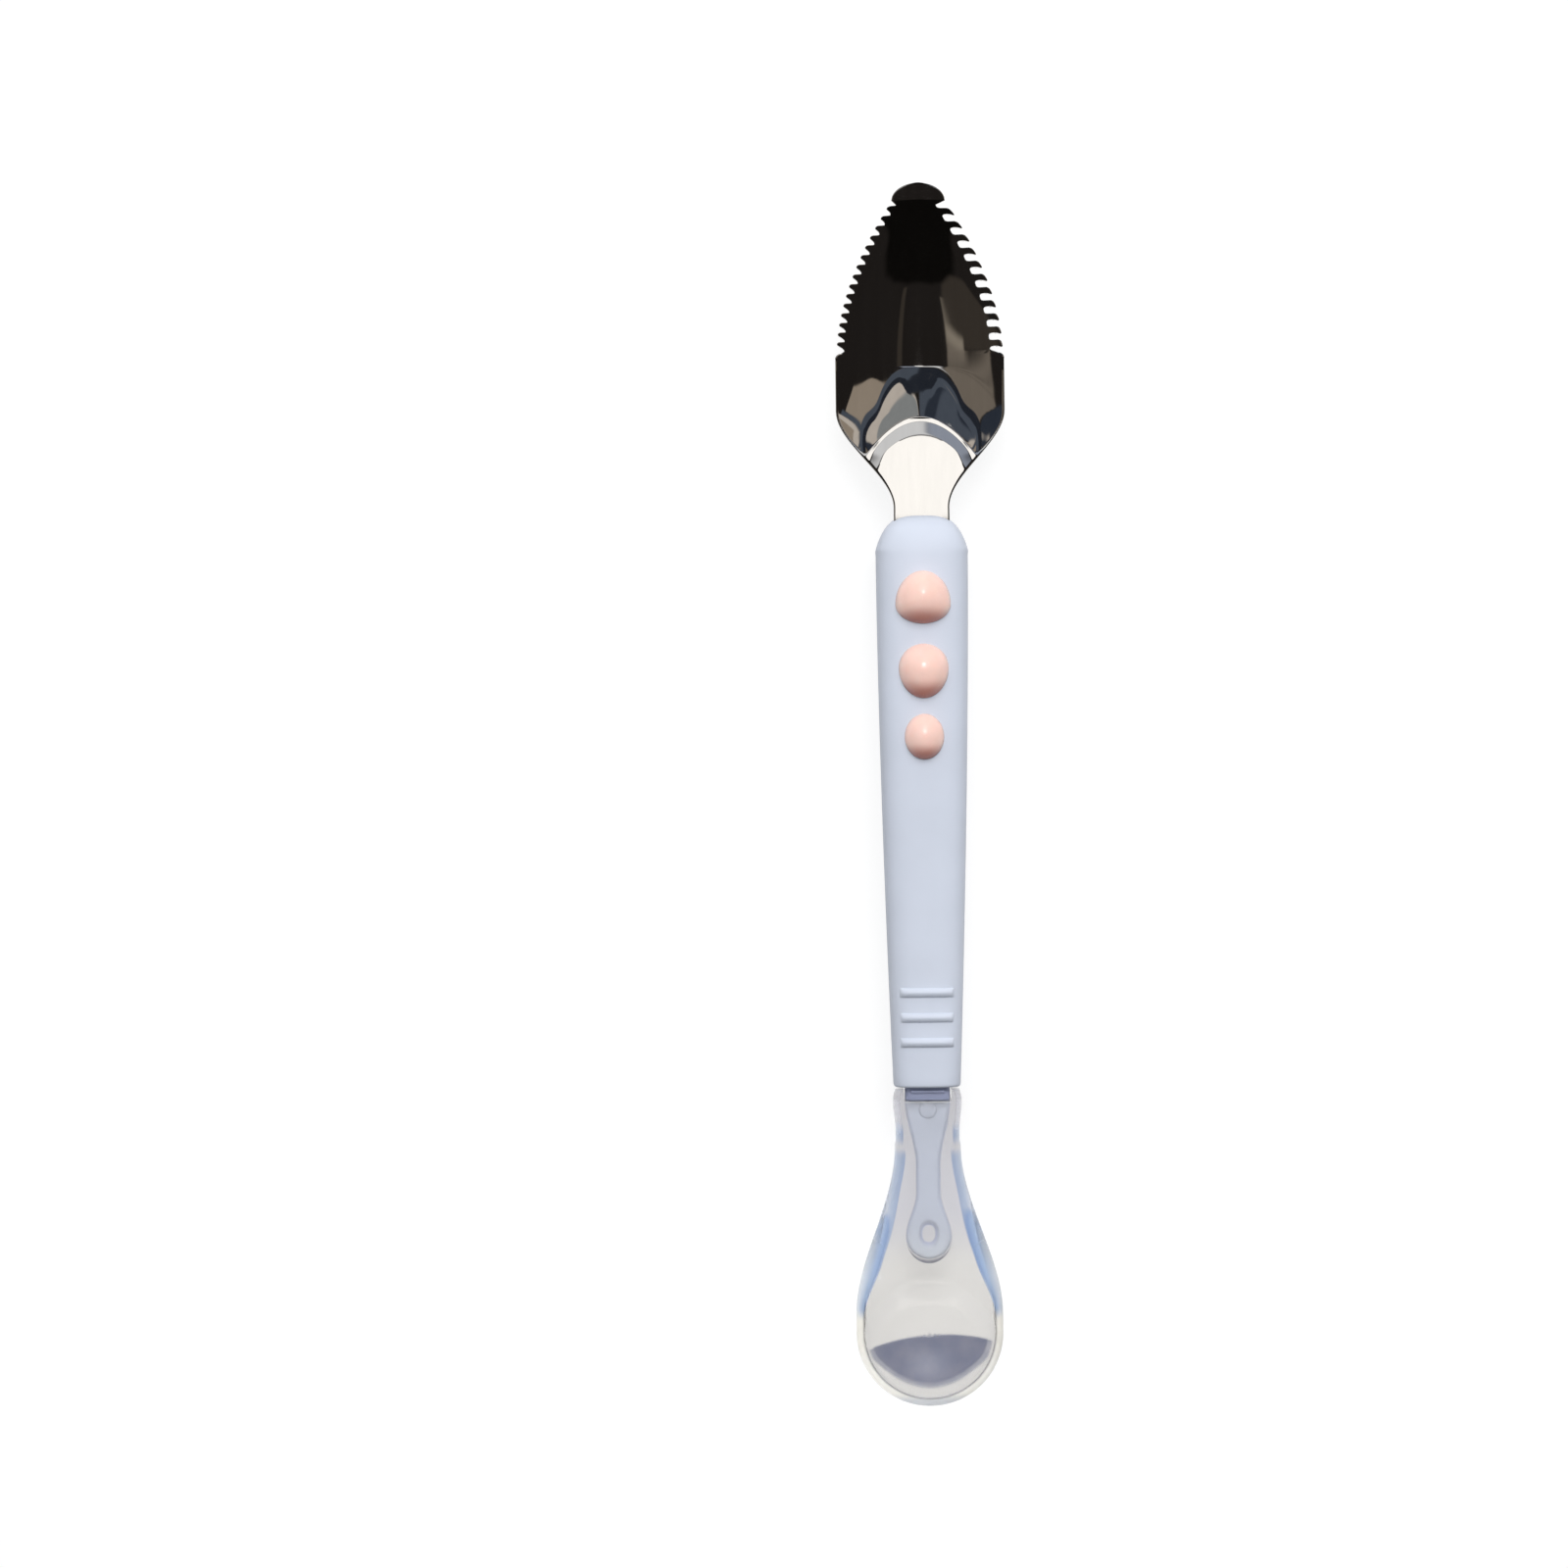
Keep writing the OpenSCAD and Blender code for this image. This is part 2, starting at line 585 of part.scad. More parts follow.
// One section: under the head from left to right, then back over it
function head_ring(d, half_w, shrink = 1) =
    let (t = turn(d), y = mouth_y - d, mid = mix(core_z, bowl_mid_z, t), least_edge = 0.3 * half_w,
        over = mix(sleeve_t / 2, lip_t / 2, t), under = mix(sleeve_t / 2, bowl_under, t) * shrink,
        over_power = mix(sleeve_power, lip_power, t), under_power = mix(sleeve_power, 2, t))
    concat(
        [for (k = [0 : under_steps])
            let (s = -cos(180 * k / under_steps)) [half_w * s, y, mid - under * arch(s, under_power)]],
        [for (x = head_across(half_w, max(least_edge, bowl_edge(d))))
            [x, y, mid + over * arch(x / half_w, over_power) - bowl_dip(x, d)]]);

module head_body() {
    collar_end = collar_d + collar_run;
    sleeve_steps = 5;
    body_steps = 9;
    bowl_rows = 8;
    tip_rows = 7;
    lip_rows = 4;
    last_angle = 86;
    stations = concat([0, bevel_run / 2],
        [for (k = [0 : sleeve_steps]) mix(bevel_run, collar_d, k / sleeve_steps)],
        [mix(collar_d, collar_end, 0.5)],
        [for (k = [0 : body_steps]) mix(collar_end, bowl_start_d, k / body_steps)],
        [for (k = [1 : bowl_rows]) bowl_mid_d - bowl_up * cos(90 * k / bowl_rows)]);
    straight = [for (d = stations) head_ring(d, head_w(d))];
    tip_angles = concat([for (k = [1 : tip_rows]) lip_angle * k / tip_rows],
        [for (k = [1 : lip_rows]) mix(lip_angle, last_angle, k / lip_rows)]);
    tip = [for (a = tip_angles)
        head_ring(bowl_mid_d + tip_r * sin(a), tip_r * cos(a), max(cos(a), lip_t / 2 / bowl_under))];
    loft(concat(straight, tip), [0, mouth_y, core_z], [0, mouth_y - head_len, bowl_mid_z]);
}

module silicone_bowl() {
    pocket_w = core_w + 2 * tongue_fit;
    pocket_t = tongue_t + 2 * tongue_fit;
    groove_w = boss_d + 2 * tongue_fit;
    groove_t = tongue_t / 2 + boss_h + tongue_fit;
    paddle_y = tongue_end_y + paddle_r;
    color("aliceblue", 0.4)
        difference() {
            head_body();
            slab(pocket_w, 2 * sleeve_t, mouth_y + overshoot, block_end_y - tongue_fit);
            slab(pocket_w, pocket_t, mouth_y + overshoot, paddle_y);
            translate([0, paddle_y, core_z])
                cylinder(r = paddle_r + tongue_fit, h = pocket_t, center = true, $fn = 64);
            translate([-groove_w / 2, boss_y, core_z])
                cube([groove_w, mouth_y + overshoot - boss_y, groove_t]);
            translate([0, boss_y, core_z])
                cylinder(d = groove_w, h = groove_t, $fn = 48);
        }
}

steel_spoon();
end_cap();
handle_shell();
handle_core();
grip_bead_upper();
grip_bead_middle();
grip_bead_lower();
silicone_bowl();
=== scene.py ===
"""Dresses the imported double-ended feeding spoon and lights it as a plain studio picture from above.

The spoon lies along Y with its steel tip at +Y, its bowls open towards +Z, and the handle's flat back on
Z = 0. Sizes in the classes are millimetres, as on a drawing. Meshes are put down in metres, in the frame
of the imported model, and most stations are read from the boxes of its nodes.
"""

import logging
import math
from dataclasses import dataclass
from enum import Enum
from typing import Any, ClassVar, Dict, List, Optional, Sequence, Tuple

import bmesh
import bpy
import numpy as np
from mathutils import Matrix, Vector


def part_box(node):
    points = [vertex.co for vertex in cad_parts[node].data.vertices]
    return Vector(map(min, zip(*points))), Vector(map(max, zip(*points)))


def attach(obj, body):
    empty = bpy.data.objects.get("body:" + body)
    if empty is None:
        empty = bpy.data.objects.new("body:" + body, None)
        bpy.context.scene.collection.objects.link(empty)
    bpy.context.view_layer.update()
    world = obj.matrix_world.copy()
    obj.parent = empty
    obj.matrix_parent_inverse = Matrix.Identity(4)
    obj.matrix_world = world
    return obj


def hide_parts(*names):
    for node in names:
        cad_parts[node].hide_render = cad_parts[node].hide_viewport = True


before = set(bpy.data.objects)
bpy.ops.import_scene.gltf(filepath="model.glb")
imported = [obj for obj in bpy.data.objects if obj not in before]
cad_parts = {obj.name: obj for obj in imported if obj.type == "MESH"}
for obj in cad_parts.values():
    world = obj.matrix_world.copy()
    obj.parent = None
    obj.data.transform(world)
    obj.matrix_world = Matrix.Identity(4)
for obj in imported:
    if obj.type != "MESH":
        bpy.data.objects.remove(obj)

Array = np.ndarray
Colour = Tuple[float, float, float, float]
Triple = Tuple[float, float, float]
Run = Tuple[float, float]
Object = bpy.types.Object
Material = bpy.types.Material
Socket = bpy.types.NodeSocket

log = logging.getLogger("feeding_spoon")

MM = 0.001
WELD_MM = 0.002
TINY = 1e-9
CURVE_SAMPLES = 7201
ROW_DECIMALS = 4
NOISE_RUN = (0.3, 0.7)


class Node(str, Enum):
    """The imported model's nodes."""

    STEEL = "steel_spoon"
    CAP = "end_cap"
    SHELL = "handle_shell"
    CORE = "handle_core"
    BEAD_UPPER = "grip_bead_upper"
    BEAD_MIDDLE = "grip_bead_middle"
    BEAD_LOWER = "grip_bead_lower"
    SILICONE = "silicone_bowl"


class Body(str, Enum):
    """The bodies that move: the handle with all it holds, and the silicone head that pulls off."""

    HANDLE = "handle"
    HEAD = "silicone_head"


class Slot(str, Enum):
    """The record's material slots."""

    STEEL = "polished_steel"
    HANDLE = "handle_plastic"
    CORE = "core_plastic"
    BEAD = "bead_rubber"
    SILICONE = "clear_silicone"


def clamp01(t: Array) -> Array:
    """Holds a share between 0 and 1."""
    return np.clip(t, 0.0, 1.0)


def ease(t: Array) -> Array:
    """Goes from 0 to 1 with no slope at either end."""
    share = clamp01(t)
    return share * share * (3.0 - 2.0 * share)


def over(value: Array, run: Run) -> Array:
    """Goes from 0 to 1 over a run, given as its start and its length."""
    return ease((value - run[0]) / run[1])


def soft_edge(inside: Array, width: float) -> Array:
    """Goes from 0 to 1 across an edge of some width, by the distance inside it."""
    return ease(inside / width + 0.5)


def mix(a: Any, b: Any, t: Any) -> Any:
    """Blends a into b by the share t."""
    return a + (b - a) * t


def arch(share: Array, power: Any) -> Array:
    """Height of a superellipse of unit half-axes at a share of its half-width."""
    return np.maximum(0.0, 1.0 - np.minimum(1.0, np.abs(share)) ** power) ** (1.0 / power)


def soft_min(a: Array, b: Array, blend: float) -> Array:
    """The lesser of two fields, rounded over the length blend where they cross."""
    return -blend * np.logaddexp(-a / blend, -b / blend)


def quarter(count: int) -> Array:
    """Even angles over a quarter turn, in radians."""
    return np.radians(np.linspace(0.0, 90.0, count))


def way_along(steps_x: Array, steps_y: Array) -> Array:
    """Distances along a line from its first point, by its steps."""
    return np.concatenate([[0.0], np.cumsum(np.hypot(steps_x, steps_y))])


def legs(start: float, *stops: Tuple[float, int]) -> Array:
    """Places after a start, in even steps to each stop, which is given with its number of steps."""
    made = []
    for stop, count in stops:
        made.append(np.linspace(start, stop, count + 1)[1:])
        start = stop
    return np.concatenate(made)


def superellipse(angles: Array, power: float) -> Tuple[Array, Array]:
    """Points of a superellipse of unit half-axes.

    Args:
        angles: Angles round it, in radians.
        power: Its exponent, where 2 is an ellipse and more is squarer.

    Returns:
        The places across and up.
    """
    across, up = np.cos(angles), np.sin(angles)
    return (np.sign(across) * np.abs(across) ** (2.0 / power),
            np.sign(up) * np.abs(up) ** (2.0 / power))


def even_angles(count: int, power: float, aspect: float) -> Array:
    """Angles that put points at even distances round a superellipse.

    Args:
        count: Number of points.
        power: The superellipse's exponent.
        aspect: Its height over its width.

    Returns:
        The angles, from 0 up to but not including a full turn.
    """
    fine = np.linspace(0.0, 2.0 * math.pi, CURVE_SAMPLES)
    across, up = superellipse(fine, power)
    run = way_along(np.diff(across), np.diff(up) * aspect)
    return np.interp(np.linspace(0.0, run[-1], count, endpoint=False), run, fine)


def grid(x: Any, y: Any, z: Any) -> Array:
    """Stacks places that broadcast together into one grid of points."""
    return np.stack(np.broadcast_arrays(x, y, z), axis=-1).astype(float)


def gathered(row: Array) -> Array:
    """A row of points drawn together at its middle, which closes an end."""
    return np.broadcast_to(row.mean(axis=0), (1,) + row.shape)


def there_and_back(first: Array, second: Array) -> Array:
    """Columns along one face and back along the other."""
    return np.concatenate([first, second[:, ::-1]], axis=1)


def tube(angles: Array, power: float, size: Tuple[float, float], ends_y: Tuple[float, float],
         mid_z: float) -> Array:
    """The two end rings of a straight tube along Y.

    Args:
        angles: Angles round its section.
        power: Its section's exponent.
        size: Its width and its height.
        ends_y: The places of the first and the last ring.
        mid_z: Height of its middle.

    Returns:
        Two rows of points.
    """
    across, up = superellipse(angles, power)
    return grid(size[0] / 2 * across, np.array(ends_y)[:, None], mid_z + size[1] / 2 * up)


def srgb(red: float, green: float, blue: float) -> Colour:
    """A shader colour from the 0 to 255 numbers that a screen shows."""
    shown = np.array([red, green, blue]) / 255.0
    light = np.where(shown <= 0.04045, shown / 12.92, ((shown + 0.055) / 1.055) ** 2.4)
    return (float(light[0]), float(light[1]), float(light[2]), 1.0)


def tinted(colour: Colour, share: float) -> Colour:
    """A colour made lighter or darker by a share."""
    return (colour[0] * share, colour[1] * share, colour[2] * share, 1.0)


class Skin:
    """Grids of points, in millimetres, that are welded into one mesh."""

    def __init__(self) -> None:
        """Starts with no points."""
        self._points: List[Array] = []
        self._quads: List[Array] = []
        self._values: Dict[str, List[Array]] = {}
        self._count = 0

    def add(self, points: Array, rows_close: bool = False, cols_close: bool = False,
            **values: Array) -> "Skin":
        """Adds a grid of points as quads.

        Args:
            points: Rows by columns by three.
            rows_close: Joins the last row to the first.
            cols_close: Joins the last column to the first.
            **values: One number for each point, under the attribute's name.

        Returns:
            This skin.
        """
        rows, cols = points.shape[:2]
        index = np.arange(rows * cols).reshape(rows, cols) + self._count
        index = np.concatenate([index, index[:1]]) if rows_close else index
        index = np.concatenate([index, index[:, :1]], axis=1) if cols_close else index
        corners = (index[:-1, :-1], index[1:, :-1], index[1:, 1:], index[:-1, 1:])
        self._quads.append(np.stack(corners, axis=-1).reshape(-1, 4))
        self._points.append(points.reshape(-1, 3))
        self._count += rows * cols
        for name, value in values.items():
            self._values.setdefault(name, []).append(np.broadcast_to(value, (rows, cols)).ravel())
        return self

    def build(self, name: str, sharp_deg: float = 40.0) -> Object:
        """Welds the grids into one object with outward faces.

        Args:
            name: The piece's name.
            sharp_deg: Edges that bend more than this stay sharp.

        Returns:
            The new object, at the origin, with its place in its mesh.
        """
        mesh = bpy.data.meshes.new(name)
        points = np.concatenate(self._points) * MM
        mesh.from_pydata(points.tolist(), [], np.concatenate(self._quads).tolist())
        for label, parts in self._values.items():
            layer = mesh.attributes.new(label, "FLOAT", "POINT")
            layer.data.foreach_set("value", np.concatenate(parts).astype(np.float32))
        work = bmesh.new()
        work.from_mesh(mesh)
        bmesh.ops.remove_doubles(work, verts=work.verts, dist=WELD_MM * MM)
        bmesh.ops.recalc_face_normals(work, faces=work.faces)
        work.to_mesh(mesh)
        work.free()
        mesh.shade_smooth()
        mesh.set_sharp_from_angle(angle=math.radians(sharp_deg))
        piece = bpy.data.objects.new(name, mesh)
        bpy.context.scene.collection.objects.link(piece)
        return piece


@dataclass(frozen=True)
class Box:
    """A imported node's box, in millimetres."""

    low: Array
    high: Array

    @classmethod
    def of(cls, node: Node) -> "Box":
        """Reads a node's box from the frame."""
        return cls(*[np.array(corner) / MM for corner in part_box(node.value)])

    @property
    def width(self) -> float:
        """Size across the spoon."""
        return float(self.high[0] - self.low[0])

    @property
    def top_y(self) -> float:
        """The end towards the steel tip."""
        return float(self.high[1])

    @property
    def end_y(self) -> float:
        """The end towards the silicone tip."""
        return float(self.low[1])


@dataclass(frozen=True)
class Stations:
    """The boxes that the pieces take their places and main sizes from."""

    steel: Box
    cap: Box
    shell: Box
    core: Box
    head: Box

    @classmethod
    def from_frame(cls) -> "Stations":
        """Reads the boxes of the nodes that the pieces stand for."""
        nodes = (Node.STEEL, Node.CAP, Node.SHELL, Node.CORE, Node.SILICONE)
        return cls(*[Box.of(node) for node in nodes])

    @property
    def bore_z(self) -> float:
        """Height of the middle of the handle's bore."""
        return (self.core.low[2] + self.steel.high[2]) / 2


class Sheet:
    """A node sheet with one shader on its output."""

    def __init__(self, tree: bpy.types.NodeTree, output: str, shader: str) -> None:
        """Clears a node tree and joins a new shader to a new output.

        Args:
            tree: The material's or the world's node tree.
            output: The output node's kind.
            shader: The shader node's kind.
        """
        self.tree = tree
        self.tree.nodes.clear()
        self.shader = self.add(shader)
        self.add(output, {"Surface": self.shader.outputs[0]})

    @classmethod
    def for_material(cls, material: Material, shader: str = "ShaderNodeBsdfPrincipled") -> "Sheet":
        """Opens a material's nodes with one shader."""
        material.use_nodes = True
        return cls(material.node_tree, "ShaderNodeOutputMaterial", shader)

    def add(self, kind: str, inputs: Optional[Dict[Any, Any]] = None, **settings: Any) -> bpy.types.Node:
        """Adds a node.

        Args:
            kind: The node's kind.
            inputs: Its sockets' values, or the sockets that feed them.
            **settings: The node's own properties.

        Returns:
            The new node.
        """
        node = self.tree.nodes.new(kind)
        for name, value in settings.items():
            setattr(node, name, value)
        self.feed(node, inputs or {})
        return node

    def feed(self, node: bpy.types.Node, inputs: Dict[Any, Any]) -> None:
        """Sets a node's sockets, or links them where the value is a socket."""
        for name, value in inputs.items():
            if isinstance(value, Socket):
                self.tree.links.new(value, node.inputs[name])
            else:
                node.inputs[name].default_value = value

    def noise(self, scale: float, detail: float, stretch: Triple = (1.0, 1.0, 1.0)) -> Socket:
        """A noise of a given count per metre, on Object coordinates drawn out along each axis."""
        coords = self.add("ShaderNodeTexCoord").outputs["Object"]
        place = self.add("ShaderNodeMapping", {"Vector": coords, "Scale": stretch}).outputs["Vector"]
        inputs = {"Vector": place, "Scale": scale, "Detail": detail}
        return self.add("ShaderNodeTexNoise", inputs).outputs["Fac"]

    def attribute(self, name: str) -> Socket:
        """A number that each point of the piece carries."""
        return self.add("ShaderNodeAttribute", attribute_name=name).outputs["Fac"]

    def spread(self, value: Socket, low: Any, high: float, start: float = NOISE_RUN[0],
               end: float = NOISE_RUN[1]) -> Socket:
        """Maps a socket's run from start to end on to low to high."""
        inputs = {"Value": value, "From Min": start, "From Max": end, "To Min": low, "To Max": high}
        return self.add("ShaderNodeMapRange", inputs).outputs["Result"]

    def ramp(self, value: Socket, stops: Sequence[Tuple[float, Colour]]) -> Socket:
        """Colours along a share from 0 to 1."""
        node = self.add("ShaderNodeValToRGB", {"Fac": value})
        elements = node.color_ramp.elements
        while len(elements) < len(stops):
            elements.new(1.0)
        for element, (at, colour) in zip(elements, stops):
            element.position = at
            element.color = colour
        return node.outputs["Color"]

    def mottle(self, noise: Socket, colour: Colour, dark: float, light: float) -> Socket:
        """A colour that a noise makes darker and lighter, by shares of itself."""
        return self.ramp(noise, list(zip(NOISE_RUN, (tinted(colour, dark), tinted(colour, light)))))

    def blend(self, share: Socket, a: Any, b: Any) -> Socket:
        """Mixes two colours by a share. A mix node's sockets for colours have numbers of their own."""
        node = self.add("ShaderNodeMix", {0: share, 6: a, 7: b}, data_type="RGBA")
        return node.outputs[2]

    def bump(self, height: Socket, strength: float, depth_mm: float) -> Socket:
        """A bumped normal from a height."""
        inputs = {"Height": height, "Strength": strength, "Distance": depth_mm * MM}
        return self.add("ShaderNodeBump", inputs).outputs["Normal"]


class Finish:
    """A piece's material: one principled shader, whose inputs each finish paints."""

    label: ClassVar[str]

    def paint(self, sheet: Sheet) -> Dict[str, Any]:
        """The shader's inputs."""
        raise NotImplementedError

    def material(self) -> Material:
        """Builds the material."""
        made = bpy.data.materials.new(self.label)
        sheet = Sheet.for_material(made)
        sheet.feed(sheet.shader, self.paint(sheet))
        return made


@dataclass(frozen=True)
class SteelFinish(Finish):
    """Mirror-polished stainless sheet with faint polishing streaks along the spoon."""

    label: ClassVar[str] = "polished_steel"
    colour: Colour = srgb(214, 212, 209)
    smooth: float = 0.03
    hazy: float = 0.07
    streak: Triple = (1.0, 0.06, 1.0)

    def paint(self, sheet: Sheet) -> Dict[str, Any]:
        """The shader's inputs: streaks in colour and haze, and very shallow waves."""
        streaks = sheet.noise(scale=900.0, detail=4.0, stretch=self.streak)
        waves = sheet.noise(scale=160.0, detail=1.0)
        return {
            "Base Color": sheet.mottle(streaks, self.colour, dark=0.94, light=1.0),
            "Metallic": 1.0,
            "Roughness": sheet.spread(streaks, low=self.smooth, high=self.hazy),
            "Normal": sheet.bump(waves, strength=0.1, depth_mm=0.01),
        }


@dataclass(frozen=True)
class SoftTouchFinish(Finish):
    """Pale lavender soft-touch moulding with a fine satin grain."""

    label: ClassVar[str] = "soft_touch_lavender"
    colour: Colour = srgb(205, 211, 224)

    def paint(self, sheet: Sheet) -> Dict[str, Any]:
        """The shader's inputs: a faint cloud of colour and a satin grain."""
        cloud = sheet.noise(scale=110.0, detail=3.0)
        grain = sheet.noise(scale=5200.0, detail=2.0)
        return {
            "Base Color": sheet.mottle(cloud, self.colour, dark=0.965, light=1.02),
            "Roughness": sheet.spread(grain, low=0.5, high=0.66),
            "Specular IOR Level": 0.32,
            "Sheen Weight": 0.08,
            "Sheen Roughness": 0.5,
            "Normal": sheet.bump(grain, strength=0.22, depth_mm=0.03),
        }


@dataclass(frozen=True)
class CoreFinish(Finish):
    """Plain moulded lavender-grey plastic, a little glossier than the grip, with painted shade on its block
    below the shell and on the tongue's rounded edges.
    """

    label: ClassVar[str] = "core_lavender_grey"
    colour: Colour = srgb(179, 186, 197)
    # Painted shade: a deeper blue-grey for the block in the shell's shadow and for the tongue's rounded
    # edges.
    bare: Colour = srgb(159, 165, 193)

    def paint(self, sheet: Sheet) -> Dict[str, Any]:
        """The shader's inputs. The points carry how much painted shade they have."""
        grain = sheet.noise(scale=3200.0, detail=1.0)
        tongue = sheet.mottle(sheet.noise(scale=180.0, detail=3.0), self.colour, dark=0.95, light=1.0)
        return {
            # The tongue's colour blended into the painted shade where the points carry it.
            "Base Color": sheet.blend(sheet.attribute("bare"), tongue, self.bare),
            "Roughness": sheet.spread(grain, low=0.36, high=0.48),
            "Normal": sheet.bump(grain, strength=0.1, depth_mm=0.02),
        }


@dataclass(frozen=True)
class BeadFinish(Finish):
    """Soft pale pink rubber that lets a little light into its skin, with painted shade on the slopes that
    face away from the light, towards its lower foot.
    """

    label: ClassVar[str] = "bead_pink_rubber"
    colour: Colour = srgb(246, 208, 196)
    # Painted shade: a darker brown-pink that stands in for shade on the slopes that face -Y, away from the
    # key light.
    deep: Colour = srgb(190, 126, 113)
    bleed: Triple = (1.0, 0.45, 0.35)
    bleed_mm: float = 0.8

    def paint(self, sheet: Sheet) -> Dict[str, Any]:
        """The shader's inputs. The points carry how much painted shade they have."""
        grain = sheet.noise(scale=4200.0, detail=2.0)
        pale = sheet.mottle(sheet.noise(scale=420.0, detail=3.0), self.colour, dark=0.96, light=1.01)
        return {
            # Pale pink blended into the painted shade where the points carry it.
            "Base Color": sheet.blend(sheet.attribute("deep"), pale, self.deep),
            "Roughness": sheet.spread(grain, low=0.2, high=0.28),
            "Specular IOR Level": 0.45,
            "Subsurface Weight": 0.3,
            "Subsurface Radius": self.bleed,
            "Subsurface Scale": self.bleed_mm * MM,
            "Normal": sheet.bump(grain, strength=0.12, depth_mm=0.02),
        }


@dataclass(frozen=True)
class SiliconeFinish(Finish):
    """Clear silicone: nearly colourless through its flat face, with a painted blue reflection on its
    rounded flanks and painted shade in the bowl's toe.
    """

    label: ClassVar[str] = "clear_silicone"
    clear: Colour = srgb(219, 217, 214)
    neck: Colour = srgb(210, 209, 213)
    collar: Colour = srgb(206, 206, 213)
    lining: Colour = srgb(252, 252, 253)
    # Painted reflection: blues that stand in for the surroundings seen through the rounded flanks,
    # lightening to near white at the outline.
    flank: Tuple[Colour, ...] = (srgb(130, 152, 192), srgb(166, 186, 216), srgb(238, 243, 250))
    flank_stops: Triple = (0.0, 0.4, 1.0)
    rim: Colour = srgb(253, 250, 241)
    tip: Colour = srgb(218, 220, 224)
    # Painted shade: the dark half-moon of the bowl's toe stands in for the dark surroundings seen through
    # it.
    toe: Tuple[Colour, ...] = (srgb(122, 126, 145), srgb(137, 138, 152))
    toe_stops: Tuple[float, float] = (0.35, 0.65)

    def paint(self, sheet: Sheet) -> Dict[str, Any]:
        """The shader's inputs. The points carry how far they are on to the flank, the rim and the toe."""
        rim, grey, toe = (sheet.attribute(name) for name in ("rim", "grey", "toe"))
        clear = sheet.blend(sheet.attribute("neck"), self.clear, self.neck)
        flank = sheet.ramp(sheet.attribute("flank"), list(zip(self.flank_stops, self.flank)))
        edge = sheet.blend(rim, clear, sheet.blend(grey, self.rim, self.tip))
        # The painted blue reflection goes on the flanks, where the points carry blue and flank.
        body = sheet.blend(sheet.attribute("blue"), edge, sheet.blend(grey, flank, self.collar))
        # The toe's painted shade, mottled by a noise.
        deep = sheet.ramp(sheet.noise(scale=420.0, detail=4.0), list(zip(self.toe_stops, self.toe)))
        outside = sheet.blend(toe, body, deep)
        gloss = sheet.spread(sheet.noise(scale=240.0, detail=2.0), low=0.06, high=0.12)
        return {
            "Base Color": sheet.blend(sheet.attribute("lining"), outside, self.lining),
            "Roughness": sheet.spread(toe, low=gloss, high=0.3, start=0.0, end=1.0),
            "IOR": 1.41,
            "Transmission Weight": sheet.spread(rim, low=0.9, high=0.3, start=0.0, end=1.0),
        }


class Piece:
    """What all pieces share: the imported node, body and material slot that each one goes with."""

    node: Node
    slot: ClassVar[Slot]
    body: ClassVar[Body] = Body.HANDLE

    def build(self) -> Object:
        """Makes the piece's mesh."""
        raise NotImplementedError

    def install(self, finish: Material) -> Object:
        """Builds the piece, dresses it, hides its node, and lets it move with its body.

        Args:
            finish: Its material.

        Returns:
            The piece.
        """
        piece = self.build()
        piece.data.materials.append(finish)
        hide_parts(self.node.value)
        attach(piece, self.body.value)
        log.info("%s: %d points, %d faces", piece.name, len(piece.data.vertices), len(piece.data.polygons))
        return piece


@dataclass(frozen=True)
class Teeth:
    """One toothed edge: how many teeth, how deep, and the outline of one tooth.

    The outline runs from one gullet to the next, as shares of the pitch along the edge and of the depth.
    """

    count: int
    depth: float
    outline: Tuple[Tuple[float, float], ...]
    rounding: float
    samples: int = 2401
    even_samples: int = 1200

    def walk(self, rows: int) -> Tuple[Array, Array]:
        """Places along the whole edge, evenly spaced on the outline of each tooth.

        Args:
            rows: Rows along the whole edge, a multiple of the count.

        Returns:
            The shares along the edge and the shares out of the root, one more than rows.
        """
        corners = np.array(self.outline)
        fine = np.linspace(0.0, len(corners) - 1.0, self.samples)
        along = np.interp(fine, np.arange(len(corners)), corners[:, 0])
        out = np.interp(fine, np.arange(len(corners)), corners[:, 1])
        run = way_along(np.diff(along), np.diff(out))
        even = np.linspace(0.0, run[-1], self.even_samples, endpoint=False)
        along, out = np.interp(even, run, along), np.interp(even, run, out)
        reach = int(self.rounding * len(even))
        window = np.hanning(2 * reach + 1)
        window /= window.sum()
        lead = np.concatenate([along[-reach:] - 1.0, along, along[:reach] + 1.0])
        wrap = np.concatenate([out[-reach:], out, out[:reach]])
        along, out = np.convolve(lead, window, "valid"), np.convolve(wrap, window, "valid")
        phase = np.arange(rows + 1) * self.count / rows
        tooth = np.floor(phase + TINY)
        at = (phase - tooth) * len(even)
        fine_at = np.arange(len(even) + 1)
        along = np.interp(at, fine_at, np.append(along, along[0] + 1.0))
        out = np.interp(at, fine_at, np.append(out, out[0]))
        return (tooth + along) / self.count, out


HOOK_TOOTH = ((0.0, 0.0), (0.1, 0.0), (0.18, 0.04), (0.22, 0.18), (0.225, 0.45), (0.23, 0.72),
              (0.27, 0.87), (0.35, 0.95), (0.48, 1.0), (0.64, 1.03), (0.75, 1.04), (0.82, 0.99),
              (0.82, 0.9), (0.765, 0.78), (0.715, 0.6), (0.7, 0.4), (0.715, 0.2), (0.77, 0.05),
              (0.87, 0.0), (1.0, 0.0))
FINE_TOOTH = ((0.0, 0.0), (0.04, 0.25), (0.06, 0.5), (0.08, 0.75), (0.13, 0.93), (0.22, 1.0), (0.34, 1.0),
              (0.44, 0.92), (0.52, 0.74), (0.62, 0.5), (0.72, 0.28), (0.84, 0.1), (0.95, 0.01), (1.0, 0.0))


